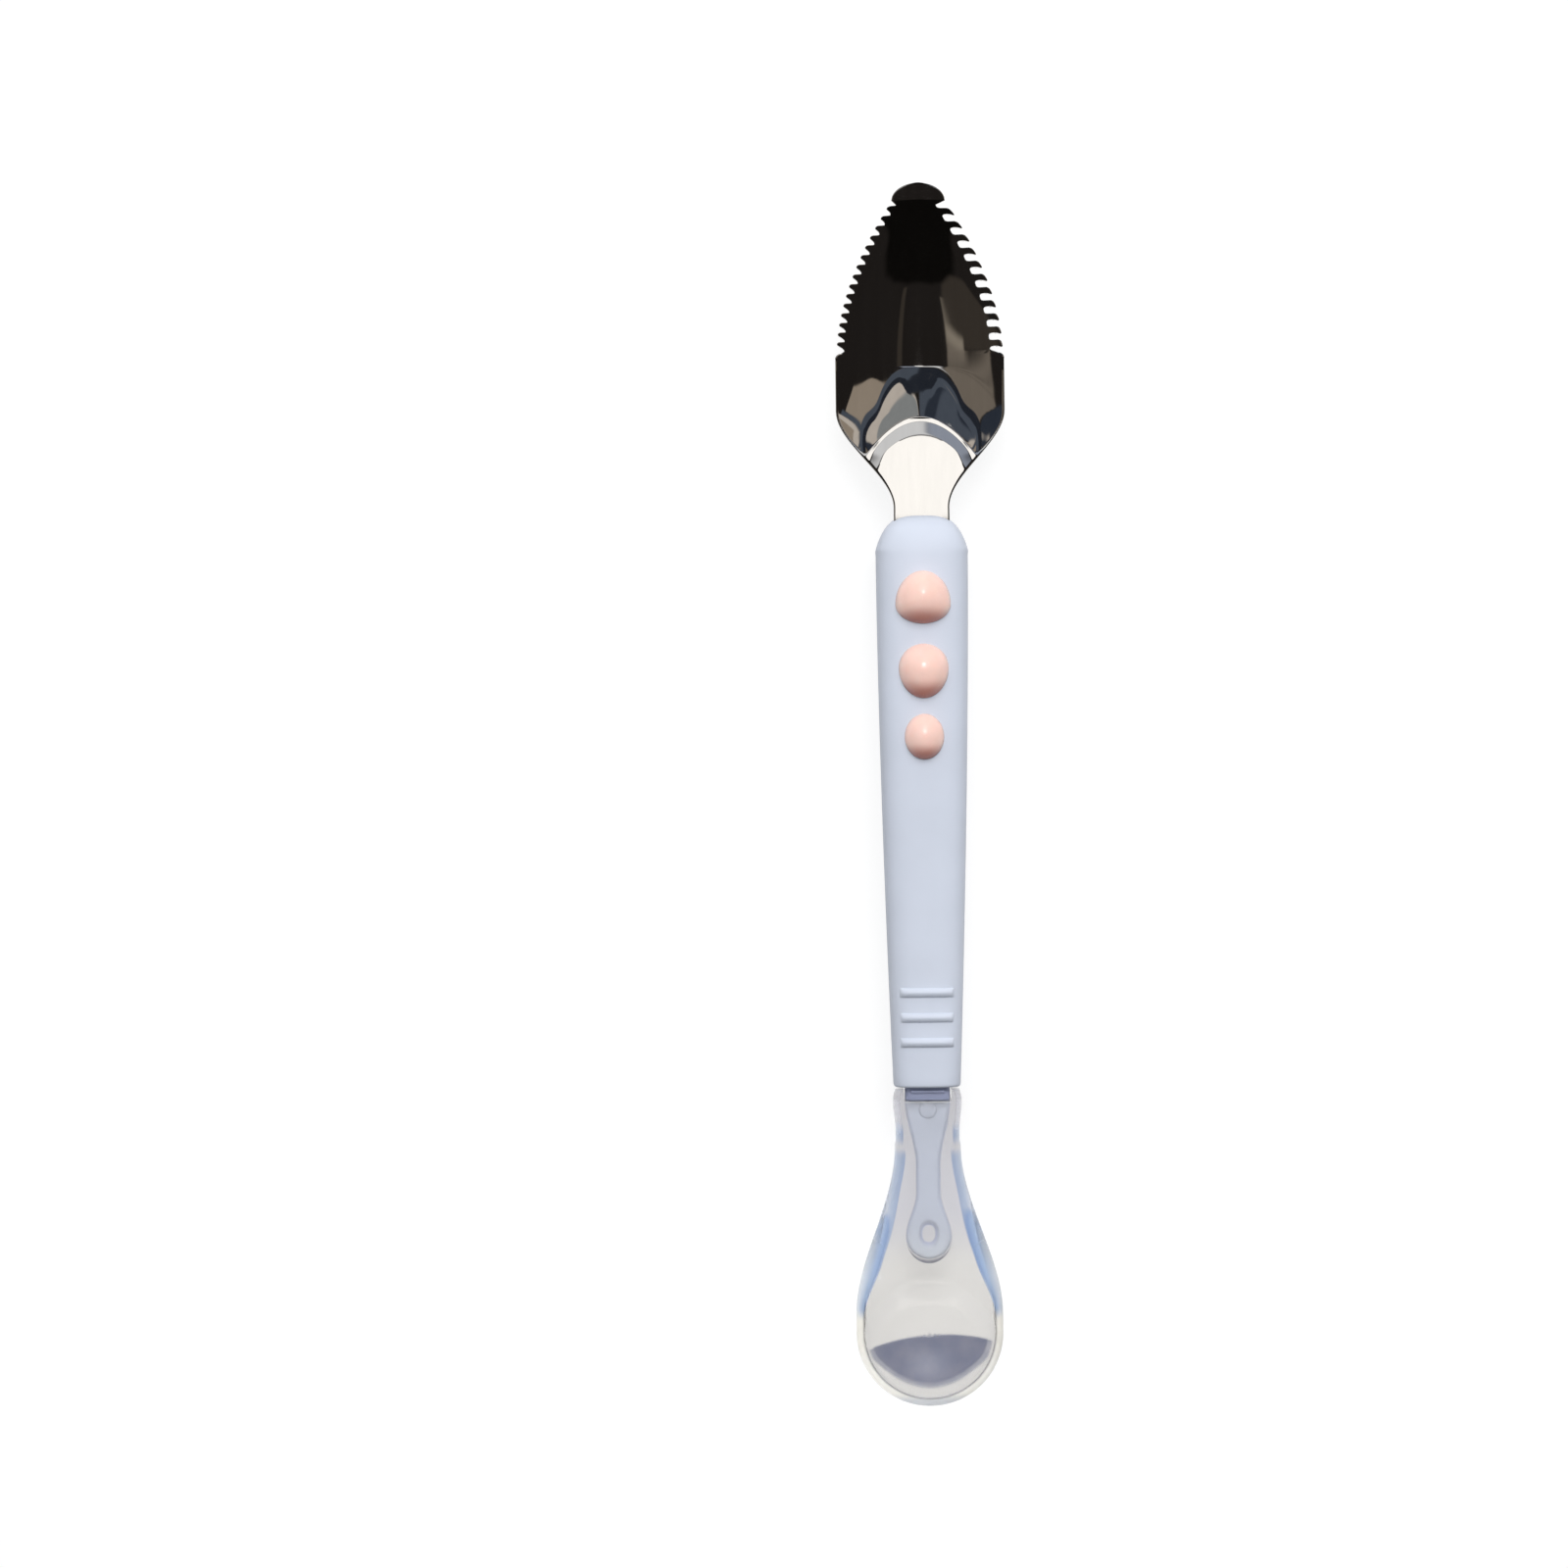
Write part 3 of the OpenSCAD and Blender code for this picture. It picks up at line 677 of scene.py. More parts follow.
@dataclass
class SteelSpoon(Piece):
    """The stamped steel: a toothed bowl with an arched heel, the neck, and the flat tang in the handle.

    Places on it are a distance x from the middle and a distance d from the tip.
    """

    node: ClassVar[Node] = Node.STEEL
    slot: ClassVar[Slot] = Slot.STEEL
    stations: Stations
    sheet_t: float = 1.0
    tip_w: float = 7.8
    tip_len: float = 2.65
    root_gap: float = 0.6
    teeth_run: float = 21.0
    shoulder_step: float = 0.25
    shoulder_r: float = 0.8
    last_gap: float = 0.4
    blade_len: float = 34.2
    neck_len: float = 13.9
    neck_w: float = 8.1
    neck_seat: float = 5.0
    neck_bevel: float = 0.1
    taper_lead: float = 1.2
    taper_over: float = 0.2
    tang_w: float = 4.2
    tang_step: float = 0.02
    scoop_depth: float = 5.0
    rim_z: float = 6.4
    tang_top_z: float = 8.2
    ogive: float = 1.75
    side_power: float = 2.1
    heel_bow: float = 5.9
    heel_run: float = 8.0
    heel_power: float = 1.35
    heel_round: float = 0.5
    heel_round_run: Run = (2.0, 4.0)
    heel_least: float = 2.0
    foot_bow: float = 1.5
    floor_rise: float = 0.1
    rise_from: float = 20.0
    rise_run: float = 12.0
    lip_len: float = 2.6
    lip_bow: float = 0.03
    nose_run: float = 13.4
    facet_w: float = 0.35
    bevel_w: float = 1.6
    bevel_slope: float = 0.1
    facet_lean: float = 0.85
    pad_inset: float = 1.2
    pad_round: float = 0.5
    pad_spread: float = 4.0
    spread_run: Run = (4.3, 5.0)
    climb_sharp: float = 0.05
    climb_soft: float = 2.5
    climb_run: Run = (4.0, 4.0)
    climb_stop: float = 1.15
    slope_step: float = 0.05
    slope_most: float = 3.0
    edge_r: float = 0.2
    tooth_edge_r: float = 0.1
    least_w: float = 0.01
    foot_rows: Tuple[float, float] = (-0.3, 1.1)
    heel_rows: float = 2.0
    tip_rows: int = 22
    tooth_rows: int = 330
    corner_rows: int = 9
    lower_rows: Tuple[int, ...] = (4, 23, 15, 45, 29)
    middle_cols: int = 55
    edge_cols: int = 11
    rim_cols: int = 5
    even_share: float = 0.72
    tooth_inset: float = 0.5
    tip_inset: float = 1.6
    corner_inset: float = 2.2
    lower_inset: float = 2.6
    tail_inset: float = 1.0
    fine: Teeth = Teeth(count=15, depth=1.1, outline=FINE_TOOTH, rounding=0.02)
    hook: Teeth = Teeth(count=11, depth=1.75, outline=HOOK_TOOTH, rounding=0.02)

    def __post_init__(self) -> None:
        """Works out the stations along the steel from its driving sizes."""
        self.blade_w = self.stations.steel.width
        self.tang_end_d = self.stations.steel.top_y - self.stations.steel.end_y
        self.root_d = self.tip_len + self.root_gap
        self.shoulder_d = self.root_d + self.teeth_run
        self.lower_start = self.shoulder_d + self.last_gap + self.shoulder_r
        self.taper_d = self.blade_len - self.taper_lead
        self.taper_run = self.neck_len + self.taper_over
        self.lower_end = self.taper_d + self.taper_run
        self.neck_end_d = self.blade_len + self.neck_len + self.neck_seat
        self.foot_d = self.blade_len - self.heel_run
        self.heel_w = float(self.edge_w(np.array(self.blade_len + self.heel_bow)))

    def width(self, d: Array, end_w: float) -> Array:
        """Half-width: a round tip, a pointed arch out to end_w at the shoulders, then an eased taper."""
        tip = self.tip_w / 2 * np.sqrt(np.maximum(0.0, 1.0 - (1.0 - d / self.tip_len) ** 2))
        share = clamp01((d - self.tip_len) / (self.shoulder_d - self.tip_len))
        body = mix(self.tip_w, end_w, 1.0 - (1.0 - share) ** self.ogive) / 2
        lower = mix(self.blade_w, self.neck_w, over(d, (self.taper_d, self.taper_run))) / 2
        return np.where(d < self.tip_len, tip, np.where(d < self.shoulder_d, body, lower))

    def edge_w(self, d: Array) -> Array:
        """Half-width through the tips of the teeth, then the shoulders and the neck."""
        return self.width(d, self.blade_w - 2 * self.shoulder_step)

    def heel_d(self, x: Array) -> Array:
        """The arched heel: a parabola that bows towards the handle at both sides."""
        return self.blade_len + self.heel_bow * (x / self.heel_w) ** 2

    def scoop(self, x: Array, d: Array) -> Array:
        """Depth of the bowl: powers of the way to its sides, its heel and its nose.

        The floor also rises slowly towards the heel, and the nose leaves a flat lip at the tip.
        """
        half_w = np.maximum(self.least_w, self.width(d, self.blade_w))
        side = 1.0 - np.minimum(1.0, np.abs(x) / half_w) ** self.side_power
        end = self.heel_d(x) - self.facet_w
        foot = self.foot_d + self.foot_bow * (x / self.heel_w) ** 4
        power = self.heel_power + self.heel_round * over(np.abs(x), self.heel_round_run)
        heel = 1.0 - (1.0 - clamp01((end - d) / np.maximum(self.heel_least, end - foot))) ** power
        nose = 1.0 - (1.0 - clamp01((d - self.lip_len - self.lip_bow * x ** 2) / self.nose_run)) ** 2
        floor = 1.0 - self.floor_rise * (np.maximum(0.0, d - self.rise_from) / self.rise_run) ** 2
        return self.scoop_depth * side * heel * nose * floor

    def height(self, x: Array, d: Array) -> Array:
        """Upper face: the rim's line and the rising neck, less the bowl, plus the neck's bevelled pad.

        A flat facet follows the heel's arch and the neck's inset edges, then a narrow bevel climbs to the
        pad. The neck's rise starts sharply at the middle and softly at the sides.
        """
        away = np.abs(x)
        soft = self.climb_sharp + self.climb_soft * over(away, self.climb_run)
        climb = soft * np.logaddexp(0.0, (d - self.blade_len) / soft) / self.neck_len
        line = mix(self.rim_z, self.tang_top_z, np.minimum(self.climb_stop, climb))
        below = (d - self.heel_d(x)) * self.facet_lean
        spread = self.pad_spread * over(d - self.blade_len, self.spread_run)
        off = soft_min(below, self.edge_w(d) - self.pad_inset - away + spread, self.pad_round)
        bevel = self.bevel_slope * np.clip(off - self.facet_w, 0.0, self.bevel_w)
        return line - self.scoop(x, d) + bevel

    def drop(self, x: Array, d: Array) -> Array:
        """Height of the sheet's section, which keeps its thickness on a slope."""
        e = self.slope_step
        slope_x = (self.height(x + e, d) - self.height(x - e, d)) / (2 * e)
        slope_d = (self.height(x, d + e) - self.height(x, d - e)) / (2 * e)
        return self.sheet_t * np.sqrt(1.0 + np.minimum(self.slope_most, slope_x ** 2 + slope_d ** 2))

    def toothed(self, teeth: Teeth) -> Tuple[Array, Array]:
        """A toothed edge as half-widths and distances from the tip."""
        along, out = teeth.walk(self.tooth_rows)
        d = self.root_d + self.teeth_run * clamp01(along)
        return self.edge_w(d) - teeth.depth * (1.0 - out), d

    def rows(self) -> Dict[str, Array]:
        """The sheet's rows, from the tip to the end of the tang.

        Returns:
            For each side the edge's half-width and distance, and the place where the even middle columns
            end; the distance of the middle; and the radius along the edge.
        """
        turn = quarter(self.tip_rows)
        tip_w, tip_d = self.tip_w / 2 * np.sin(turn), self.tip_len * (1.0 - np.cos(turn))
        teeth_d = self.root_d + self.teeth_run * np.linspace(0.0, 1.0, self.tooth_rows + 1)
        corner = quarter(self.corner_rows)
        corner_w = self.blade_w / 2 - self.shoulder_r * (1.0 - np.sin(corner))
        corner_d = self.lower_start - self.shoulder_r * np.cos(corner)
        stops = (self.foot_d + self.foot_rows[0], self.foot_d + self.foot_rows[1],
                 self.blade_len - self.heel_rows, self.blade_len + self.heel_rows, self.lower_end)
        near = legs(self.lower_start, *zip(stops, self.lower_rows))
        before = ease((near - self.lower_start) / (self.blade_len - self.lower_start))
        after = 1.0 - ease((near - self.blade_len) / (self.lower_end - self.blade_len))
        bow = self.heel_bow * np.where(near < self.blade_len, before, after)
        bowed_w = self.edge_w(near + bow)
        neck_ends = self.neck_end_d + np.array([-self.neck_bevel, 0.0, self.tang_step])
        tail_d = np.append(neck_ends, self.tang_end_d)
        tail_w = np.array([self.neck_w, self.neck_w - 2 * self.neck_bevel, self.tang_w, self.tang_w]) / 2

        def inner(w: Array, inset: float) -> Array:
            """Where the even columns end on rows with a smooth edge."""
            return np.maximum(self.even_share * w, w - inset)

        lower_in = inner(bowed_w, self.lower_inset)
        lower_in_d = near + bow * (lower_in / bowed_w) ** 2
        made = {"mid_d": np.concatenate([tip_d, teeth_d, corner_d, near, tail_d])}
        for side, teeth in (("left", self.fine), ("right", self.hook)):
            w, d = self.toothed(teeth)
            teeth_in = self.edge_w(teeth_d) - teeth.depth - self.tooth_inset
            made[side + "_w"] = np.concatenate([tip_w, w, corner_w, bowed_w, tail_w])
            made[side + "_d"] = np.concatenate([tip_d, d, corner_d, near + bow, tail_d])
            made[side + "_in_w"] = np.concatenate([
                inner(tip_w, self.tip_inset), teeth_in, inner(corner_w, self.corner_inset), lower_in,
                inner(tail_w, self.tail_inset)])
            made[side + "_in_d"] = np.concatenate([tip_d, teeth_d, corner_d, lower_in_d, tail_d])
        radii = ((tip_d, self.edge_r), (teeth_d, self.tooth_edge_r), (corner_d, self.tooth_edge_r),
                 (near, self.edge_r), (tail_d, self.tooth_edge_r))
        made["edge_r"] = np.concatenate([np.full_like(part, radius) for part, radius in radii])
        return made

    def side_columns(self, rows: Dict[str, Array], side: str,
                     sign: float) -> Tuple[Array, Array, Array, Array]:
        """Columns from the even middle to the start of the rounded edge, and the edge's way out.

        Args:
            rows: The sheet's rows.
            side: left or right.
            sign: -1 for the left side and 1 for the right.

        Returns:
            The columns' x and d, and the outward direction of the edge in x and d.
        """
        edge_x, edge_d = sign * rows[side + "_w"], rows[side + "_d"]
        run_x, run_d = np.gradient(edge_x), np.gradient(edge_d)
        length = np.maximum(TINY, np.hypot(run_x, run_d))
        out_x, out_d = sign * run_d / length, -sign * run_x / length
        stop_x, stop_d = edge_x - rows["edge_r"] * out_x, edge_d - rows["edge_r"] * out_d
        share = np.linspace(0.0, 1.0, self.edge_cols + 1)[1:][None, :]
        start_x, start_d = sign * rows[side + "_in_w"][:, None], rows[side + "_in_d"][:, None]
        return mix(start_x, stop_x[:, None], share), mix(start_d, stop_d[:, None], share), out_x, out_d

    def build(self) -> Object:
        """Carries the sheet's section, with rounded edges, along the rows.

        Returns:
            The steel spoon.
        """
        rows = self.rows()
        share = np.linspace(-1.0, 1.0, self.middle_cols)[None, :]
        left, right = rows["left_in_w"][:, None], rows["right_in_w"][:, None]
        mid_d = rows["mid_d"][:, None]
        middle_x = share * np.where(share < 0, left, right)
        side_d = np.where(share < 0, rows["left_in_d"][:, None], rows["right_in_d"][:, None])
        middle_d = mid_d + (side_d - mid_d) * share ** 2
        left_x, left_d, left_out_x, left_out_d = self.side_columns(rows, "left", -1.0)
        right_x, right_d, right_out_x, right_out_d = self.side_columns(rows, "right", 1.0)
        x = np.concatenate([left_x[:, ::-1], middle_x, right_x], axis=1)
        d = np.concatenate([left_d[:, ::-1], middle_d, right_d], axis=1)
        top = self.height(x, d)
        under = top - self.drop(x, d)

        def rim(column: int, out_x: Array, out_d: Array) -> Tuple[Array, Array, Array]:
            """The rounded edge from the upper face to the lower: two quarter circles and a wall."""
            turn = quarter(self.rim_cols)[None, 1:]
            r = rows["edge_r"][:, None]
            reach = there_and_back(r * np.sin(turn), r * np.sin(turn))
            fall = r * (1.0 - np.cos(turn))
            at_x, at_d, high, low = (part[:, column][:, None] for part in (x, d, top, under))
            return (at_x + reach * out_x[:, None], at_d + reach * out_d[:, None],
                    there_and_back(high - fall, low + fall))

        right_rim, left_rim = rim(-1, right_out_x, right_out_d), rim(0, left_out_x, left_out_d)
        rounds = zip((x, d, top), right_rim, (x, d, under), left_rim)
        ring_x, ring_d, ring_z = (
            np.concatenate([upper, right_edge, lower[:, ::-1], left_edge[:, ::-1]], axis=1)
            for upper, right_edge, lower, left_edge in rounds)
        points = grid(ring_x, self.stations.steel.top_y - ring_d, ring_z)
        sheet = np.concatenate([points, gathered(points[-1])])
        return Skin().add(sheet, cols_close=True).build("steel_scraping_spoon", sharp_deg=50.0)


@dataclass
class HandleShape:
    """The handle's outer section: a superellipse with a flat back, tapering to its lower end."""

    stations: Stations
    end_w: float = 9.7
    end_t: float = 10.0
    back_cut: float = 0.35
    power: float = 3.2
    taper: float = 1.6

    def __post_init__(self) -> None:
        """Reads the upper end's section and the length from the frame."""
        self.top_w = self.stations.shell.width
        self.top_t = float(self.stations.shell.high[2])
        self.length = self.stations.shell.top_y - self.stations.shell.end_y

    def angles(self, count: int) -> Array:
        """Angles that put points evenly round the section."""
        return even_angles(count, self.power, self.top_t / self.top_w)

    def share(self, y: Array) -> Array:
        """0 at the end cap and 1 at the lower end, bent by the taper's power."""
        return clamp01((self.stations.shell.top_y - y) / self.length) ** self.taper

    def half_w(self, y: Array) -> Array:
        """Half the width."""
        return mix(self.top_w, self.end_w, self.share(y)) / 2

    def thick(self, y: Array) -> Array:
        """Height above the back."""
        return mix(self.top_t, self.end_t, self.share(y))

    def mid_z(self, y: Array) -> Array:
        """Height of the section's middle."""
        return (self.thick(y) - self.back_cut) / 2

    def half_t(self, y: Array) -> Array:
        """Half the section's height before its back is cut flat."""
        return (self.thick(y) + self.back_cut) / 2

    def top_z(self, x: Array, y: Array) -> Array:
        """Height of the upper face."""
        return self.mid_z(y) + self.half_t(y) * arch(x / self.half_w(y), self.power)


@dataclass
class HandleShell(Piece):
    """The soft-touch grip: a tube over the core, with three ribs moulded across its lower end."""

    node: ClassVar[Node] = Node.SHELL
    slot: ClassVar[Slot] = Slot.HANDLE
    stations: Stations
    shape: HandleShape
    end_r: float = 0.4
    bore_w: float = 6.6
    bore_t: float = 5.3
    bore_power: float = 7.0
    rib_count: int = 3
    rib_pitch: float = 3.6
    rib_len: float = 7.6
    rib_w: float = 1.3
    rib_h: float = 0.55
    rib_round: float = 1.7
    rib_blunt: float = 9.0
    rib_from_end: float = 6.5
    rib_reach: float = 0.72
    rib_rows: int = 37
    body_rows: int = 70
    end_rows: int = 7
    ring_points: int = 220

    def rib_lines(self) -> Array:
        """The ribs' places along the handle."""
        return self.stations.shell.end_y + self.rib_from_end + self.rib_pitch * np.arange(self.rib_count)

    def rib_rise(self, x: Array, y: Array) -> Array:
        """Height of the ribs: half-round along the handle and blunt across it."""
        away = np.min(np.abs(y[..., None] - self.rib_lines()), axis=-1) / (self.rib_w / 2)
        return self.rib_h * arch(away, self.rib_round) * arch(x / (self.rib_len / 2), self.rib_blunt)

    def build(self) -> Object:
        """Carries the section along the handle, round its lower edge, and back through the bore.

        Returns:
            The shell.
        """
        top_y, last_y = self.stations.shell.top_y, self.stations.shell.end_y
        across_rib = np.linspace(-self.rib_reach, self.rib_reach, self.rib_rows)[None, :] * self.rib_w
        near = self.rib_lines()[:, None] + across_rib
        plain = np.linspace(top_y, last_y + self.end_r, self.body_rows)
        y = np.unique(np.round(np.concatenate([plain, near.ravel()]), ROW_DECIMALS))[::-1][:, None]
        angles = self.shape.angles(self.ring_points)
        across, up = superellipse(angles, self.shape.power)
        half_w, half_t, mid = self.shape.half_w(y), self.shape.half_t(y), self.shape.mid_z(y)
        x = half_w * across
        z = np.maximum(0.0, mid + half_t * up) + self.rib_rise(x, np.broadcast_to(y, x.shape)) * (up > 0)
        body = grid(x, y, z)
        turn = quarter(self.end_rows)[1:, None]
        drawn = self.end_r * (1.0 - np.cos(turn))
        end_y = last_y + self.end_r * (1.0 - np.sin(turn))
        last = np.array(last_y)
        end = grid((self.shape.half_w(last) - drawn) * across, end_y,
                   np.maximum(0.0, self.shape.mid_z(last) + (self.shape.half_t(last) - drawn) * up))
        bore_z = self.stations.bore_z
        bore = tube(angles, self.bore_power, (self.bore_w, self.bore_t), (last_y, top_y), bore_z)
        shell = Skin().add(np.concatenate([body, end, bore]), rows_close=True, cols_close=True)
        return shell.build("soft_touch_shell", sharp_deg=60.0)


@dataclass
class EndCap(Piece):
    """The domed upper end of the handle, flaring a little past the shell, over its plug."""

    node: ClassVar[Node] = Node.CAP
    slot: ClassVar[Slot] = Slot.HANDLE
    stations: Stations
    shape: HandleShape
    lip: float = 0.2
    lip_run: float = 0.15
    dome_across: float = 1.3
    dome_up: float = 2.0
    blunt: float = 0.28
    plug_w: float = 6.5
    plug_t: float = 5.2
    plug_power: float = 7.0
    dome_rows: int = 60
    crowding: int = 3
    ring_points: int = 160

    def build(self) -> Object:
        """Draws the section in to a blunt nose by a power of the height, and ends it below with the plug.

        Returns:
            The cap.
        """
        y0 = np.array(self.stations.shell.top_y)
        rise = self.stations.cap.top_y - self.stations.shell.top_y
        share = (1.0 - np.linspace(1.0, 0.0, self.dome_rows) ** self.crowding)[::-1][:, None]
        shrink_x = (1.0 - share ** self.dome_across) ** self.blunt
        shrink_z = (1.0 - share ** self.dome_up) ** self.blunt
        angles = self.shape.angles(self.ring_points)
        across, up = superellipse(angles, self.shape.power)
        mid = self.shape.mid_z(y0)
        z = np.maximum(mid * (1.0 - shrink_z), mid + shrink_z * self.shape.half_t(y0) * up)
        half_w = self.shape.half_w(y0) + self.lip * ease(share / self.lip_run)
        dome = grid(shrink_x * half_w * across, y0 + share * rise, z)
        ends_y = (self.stations.shell.top_y, self.stations.cap.end_y)
        plug = tube(angles, self.plug_power, (self.plug_w, self.plug_t), ends_y, self.stations.bore_z)
        cap = np.concatenate([dome, plug, gathered(plug[-1])])
        return Skin().add(cap, cols_close=True).build("domed_end_cap", sharp_deg=60.0)


@dataclass
class Tongue:
    """The outline of the waisted tongue, which the silicone's pocket follows too.

    Places along it are a distance s from the core's bare block.
    """

    length: float
    half_w: float
    waist: float = 1.7
    waist_from: float = 9.5
    waist_to: float = 13.4

    def width(self, s: Array, side_gap: float = 0.0, end_gap: float = 0.0) -> Array:
        """Half-width: eased in to the waist, eased out to the round end, then an ellipse.

        Args:
            s: Distances from the block.
            side_gap: Extra half-width.
            end_gap: Extra length past the round end.

        Returns:
            The half-widths.
        """
        round_at = self.length - self.half_w
        far = (s - round_at) / (self.half_w + end_gap)
        end = (self.half_w + side_gap) * np.sqrt(np.maximum(0.0, 1.0 - far ** 2))
        out = mix(self.waist, self.half_w, ease((s - self.waist_to) / (round_at - self.waist_to)))
        back = mix(self.half_w, self.waist, ease(s / self.waist_from))
        return np.where(s > round_at, end, np.where(s > self.waist_to, out, back) + side_gap)


@dataclass
class HandleCore(Piece):
    """The stiff bar inside the shell, its block below the shell, and the tongue for the bowl."""

    node: ClassVar[Node] = Node.CORE
    slot: ClassVar[Slot] = Slot.CORE
    stations: Stations
    bar_t: float = 5.2
    corner_power: float = 6.0
    block_len: float = 1.9
    block_bevel: float = 0.15
    block_shrink: float = 0.95
    ridge_h: float = 0.3
    ridge_half_w: float = 2.4
    tongue_t: float = 2.4
    tongue_edge_r: float = 0.55
    rebate_w: float = 4.3
    rebate_t: float = 1.05
    rebate_len: float = 34.05
    rebate_step: float = 0.01
    oval_w: float = 1.9
    oval_len: float = 2.5
    oval_power: float = 2.3
    oval_back: float = 0.4
    dish_w: float = 0.75
    dish_t: float = 0.5
    dish_power: float = 1.5
    root_len: float = 0.6
    boss_d: float = 2.6
    boss_h: float = 0.4
    boss_root: float = 0.6
    boss_blunt: float = 0.6
    boss_gap: float = 0.1
    edge_shade: float = 0.7
    ring_points: int = 120
    ridge_rows: int = 17
    root_rows: int = 90
    oval_rows: int = 30
    round_rows: int = 36
    face_cols: int = 15
    bend_cols: int = 9
    boss_rows: int = 10
    boss_points: int = 48

    def __post_init__(self) -> None:
        """Reads the core's places from the frame."""
        self.bar_w = self.stations.core.width
        self.core_z = float(self.stations.core.low[2]) + self.bar_t / 2
        self.block_end_y = self.stations.shell.end_y - self.block_len
        self.tongue = Tongue(self.block_end_y - self.stations.core.end_y, self.bar_w / 2)

    def bar(self) -> Array:
        """The bar's squarish section along Y, with the tang's rebate and the ridge across the block."""
        top_y, shell_y = self.stations.core.top_y, self.stations.shell.end_y
        ridge_y = shell_y - self.block_len / 3
        rebate_end = top_y - self.rebate_len
        near = ridge_y + self.ridge_h * np.linspace(-1.0, 1.0, self.ridge_rows)
        upper = [top_y, rebate_end, rebate_end - self.rebate_step, shell_y]
        lower = [self.block_end_y + self.block_bevel, self.block_end_y]
        y = np.concatenate([upper, near[::-1], lower])[:, None]
        angles = even_angles(self.ring_points, self.corner_power, self.bar_t / self.bar_w)
        across, up = superellipse(angles, self.corner_power)
        shrink = np.where(y <= self.block_end_y, self.block_shrink, 1.0)
        x = self.bar_w / 2 * across * shrink
        z = self.core_z + self.bar_t / 2 * up * shrink
        cut = (np.abs(x) < self.rebate_w / 2) & (up > 0) & (y >= rebate_end)
        on_ridge = (np.abs(x) < self.ridge_half_w) & (up > 0)
        ridge = self.ridge_h * arch((y - ridge_y) / self.ridge_h, 2.0) * on_ridge
        body = grid(x, y, np.where(cut, z - self.rebate_t, z + ridge))
        return np.concatenate([gathered(body[0]), body, gathered(body[-1])])

    def dish(self, x: Array, s: Array, middle: float) -> Array:
        """Depth of the dished ring round the oval hole, eased out by the distance from the oval."""
        across = np.abs(2.0 * x / self.oval_w) ** self.oval_power
        along = np.abs(2.0 * (s - middle) / self.oval_len) ** self.oval_power
        away = (across + along) ** (1.0 / self.oval_power) - 1.0
        return self.dish_t * (1.0 - ease(away * self.oval_w / 2 / self.dish_w)) ** self.dish_power

    def plate(self) -> Tuple[Array, Array]:
        """The right half of the tongue, and the right half of its hole's wall.

        Rows follow the outline from the root to the tip. Columns run from the middle line or the oval hole
        out over the upper face, round the edge by quarter circles, and back under the lower face.

        Returns:
            The grid of the half, and the grid of the hole's wall.
        """
        round_at = self.tongue.length - self.tongue.half_w
        middle = round_at - self.oval_back
        start = middle - self.oval_len / 2
        s = np.concatenate([np.linspace(-self.root_len, start, self.root_rows)[:-1],
                            np.linspace(start, round_at, self.oval_rows)[:-1],
                            round_at + self.tongue.half_w * np.sin(quarter(self.round_rows))])
        edge_x = self.tongue.width(np.maximum(s, 0.0))
        run = way_along(np.diff(edge_x), np.diff(s))
        first = float(np.interp(start, s, run))
        swing = math.pi * (clamp01((run - first) / (run[-1] - first)) - 0.5)
        hole_x, hole_up = superellipse(swing, self.oval_power)
        hole_x = self.oval_w / 2 * np.where(s < start + TINY, 0.0, hole_x)
        hole_s = np.where(s < start, s, middle + self.oval_len / 2 * hole_up)
        along_x, along_s = np.gradient(edge_x), np.gradient(s)
        length = np.hypot(along_x, along_s)
        out_x, out_s = (along_s / length)[:, None], (-along_x / length)[:, None]
        out_x[-1], out_s[-1], hole_x[-1] = 0.0, 1.0, 0.0
        r = self.tongue_edge_r
        flat = np.linspace(0.0, 1.0, self.face_cols)[None, :]
        bend = quarter(self.bend_cols)[None, 1:]
        stop_x, stop_s = np.maximum(0.0, edge_x[:, None] - r * out_x), s[:, None] - r * out_s
        face_x, face_s = mix(hole_x[:, None], stop_x, flat), mix(hole_s[:, None], stop_s, flat)
        x = np.concatenate([face_x, stop_x + r * out_x * np.sin(bend)], axis=1)
        place = np.concatenate([face_s, stop_s + r * out_s * np.sin(bend)], axis=1)
        face_z = self.tongue_t / 2 - self.dish(face_x, face_s, middle)
        bend_z = self.tongue_t / 2 - r * (1.0 - np.cos(bend))
        z = np.concatenate([face_z, np.broadcast_to(bend_z, (len(s), bend.size))], axis=1)
        half = grid(there_and_back(x, x), self.block_end_y - there_and_back(place, place),
                    self.core_z + there_and_back(z, -z))
        root = half[:1] * np.array([0.0, 1.0, 1.0])
        wall = half[s > start - TINY][:, [0, -1]]
        return np.concatenate([root, half]), wall

    def boss(self) -> Array:
        """The snap boss near the tongue's root: a low dome on a short round wall."""
        lift = quarter(self.boss_rows)
        reach = self.boss_d / 2 * np.concatenate([[0.0, 1.0], np.cos(lift) ** self.boss_blunt])[:, None]
        dome = self.tongue_t / 2 + self.boss_h * np.sin(lift)
        rise = np.concatenate([[self.boss_root, self.boss_root], dome])[:, None]
        angle = np.linspace(0.0, 2 * math.pi, self.boss_points, endpoint=False)[None, :]
        middle_y = self.block_end_y - self.boss_d / 2 - self.boss_gap
        return grid(reach * np.cos(angle), middle_y + reach * np.sin(angle), self.core_z + rise)

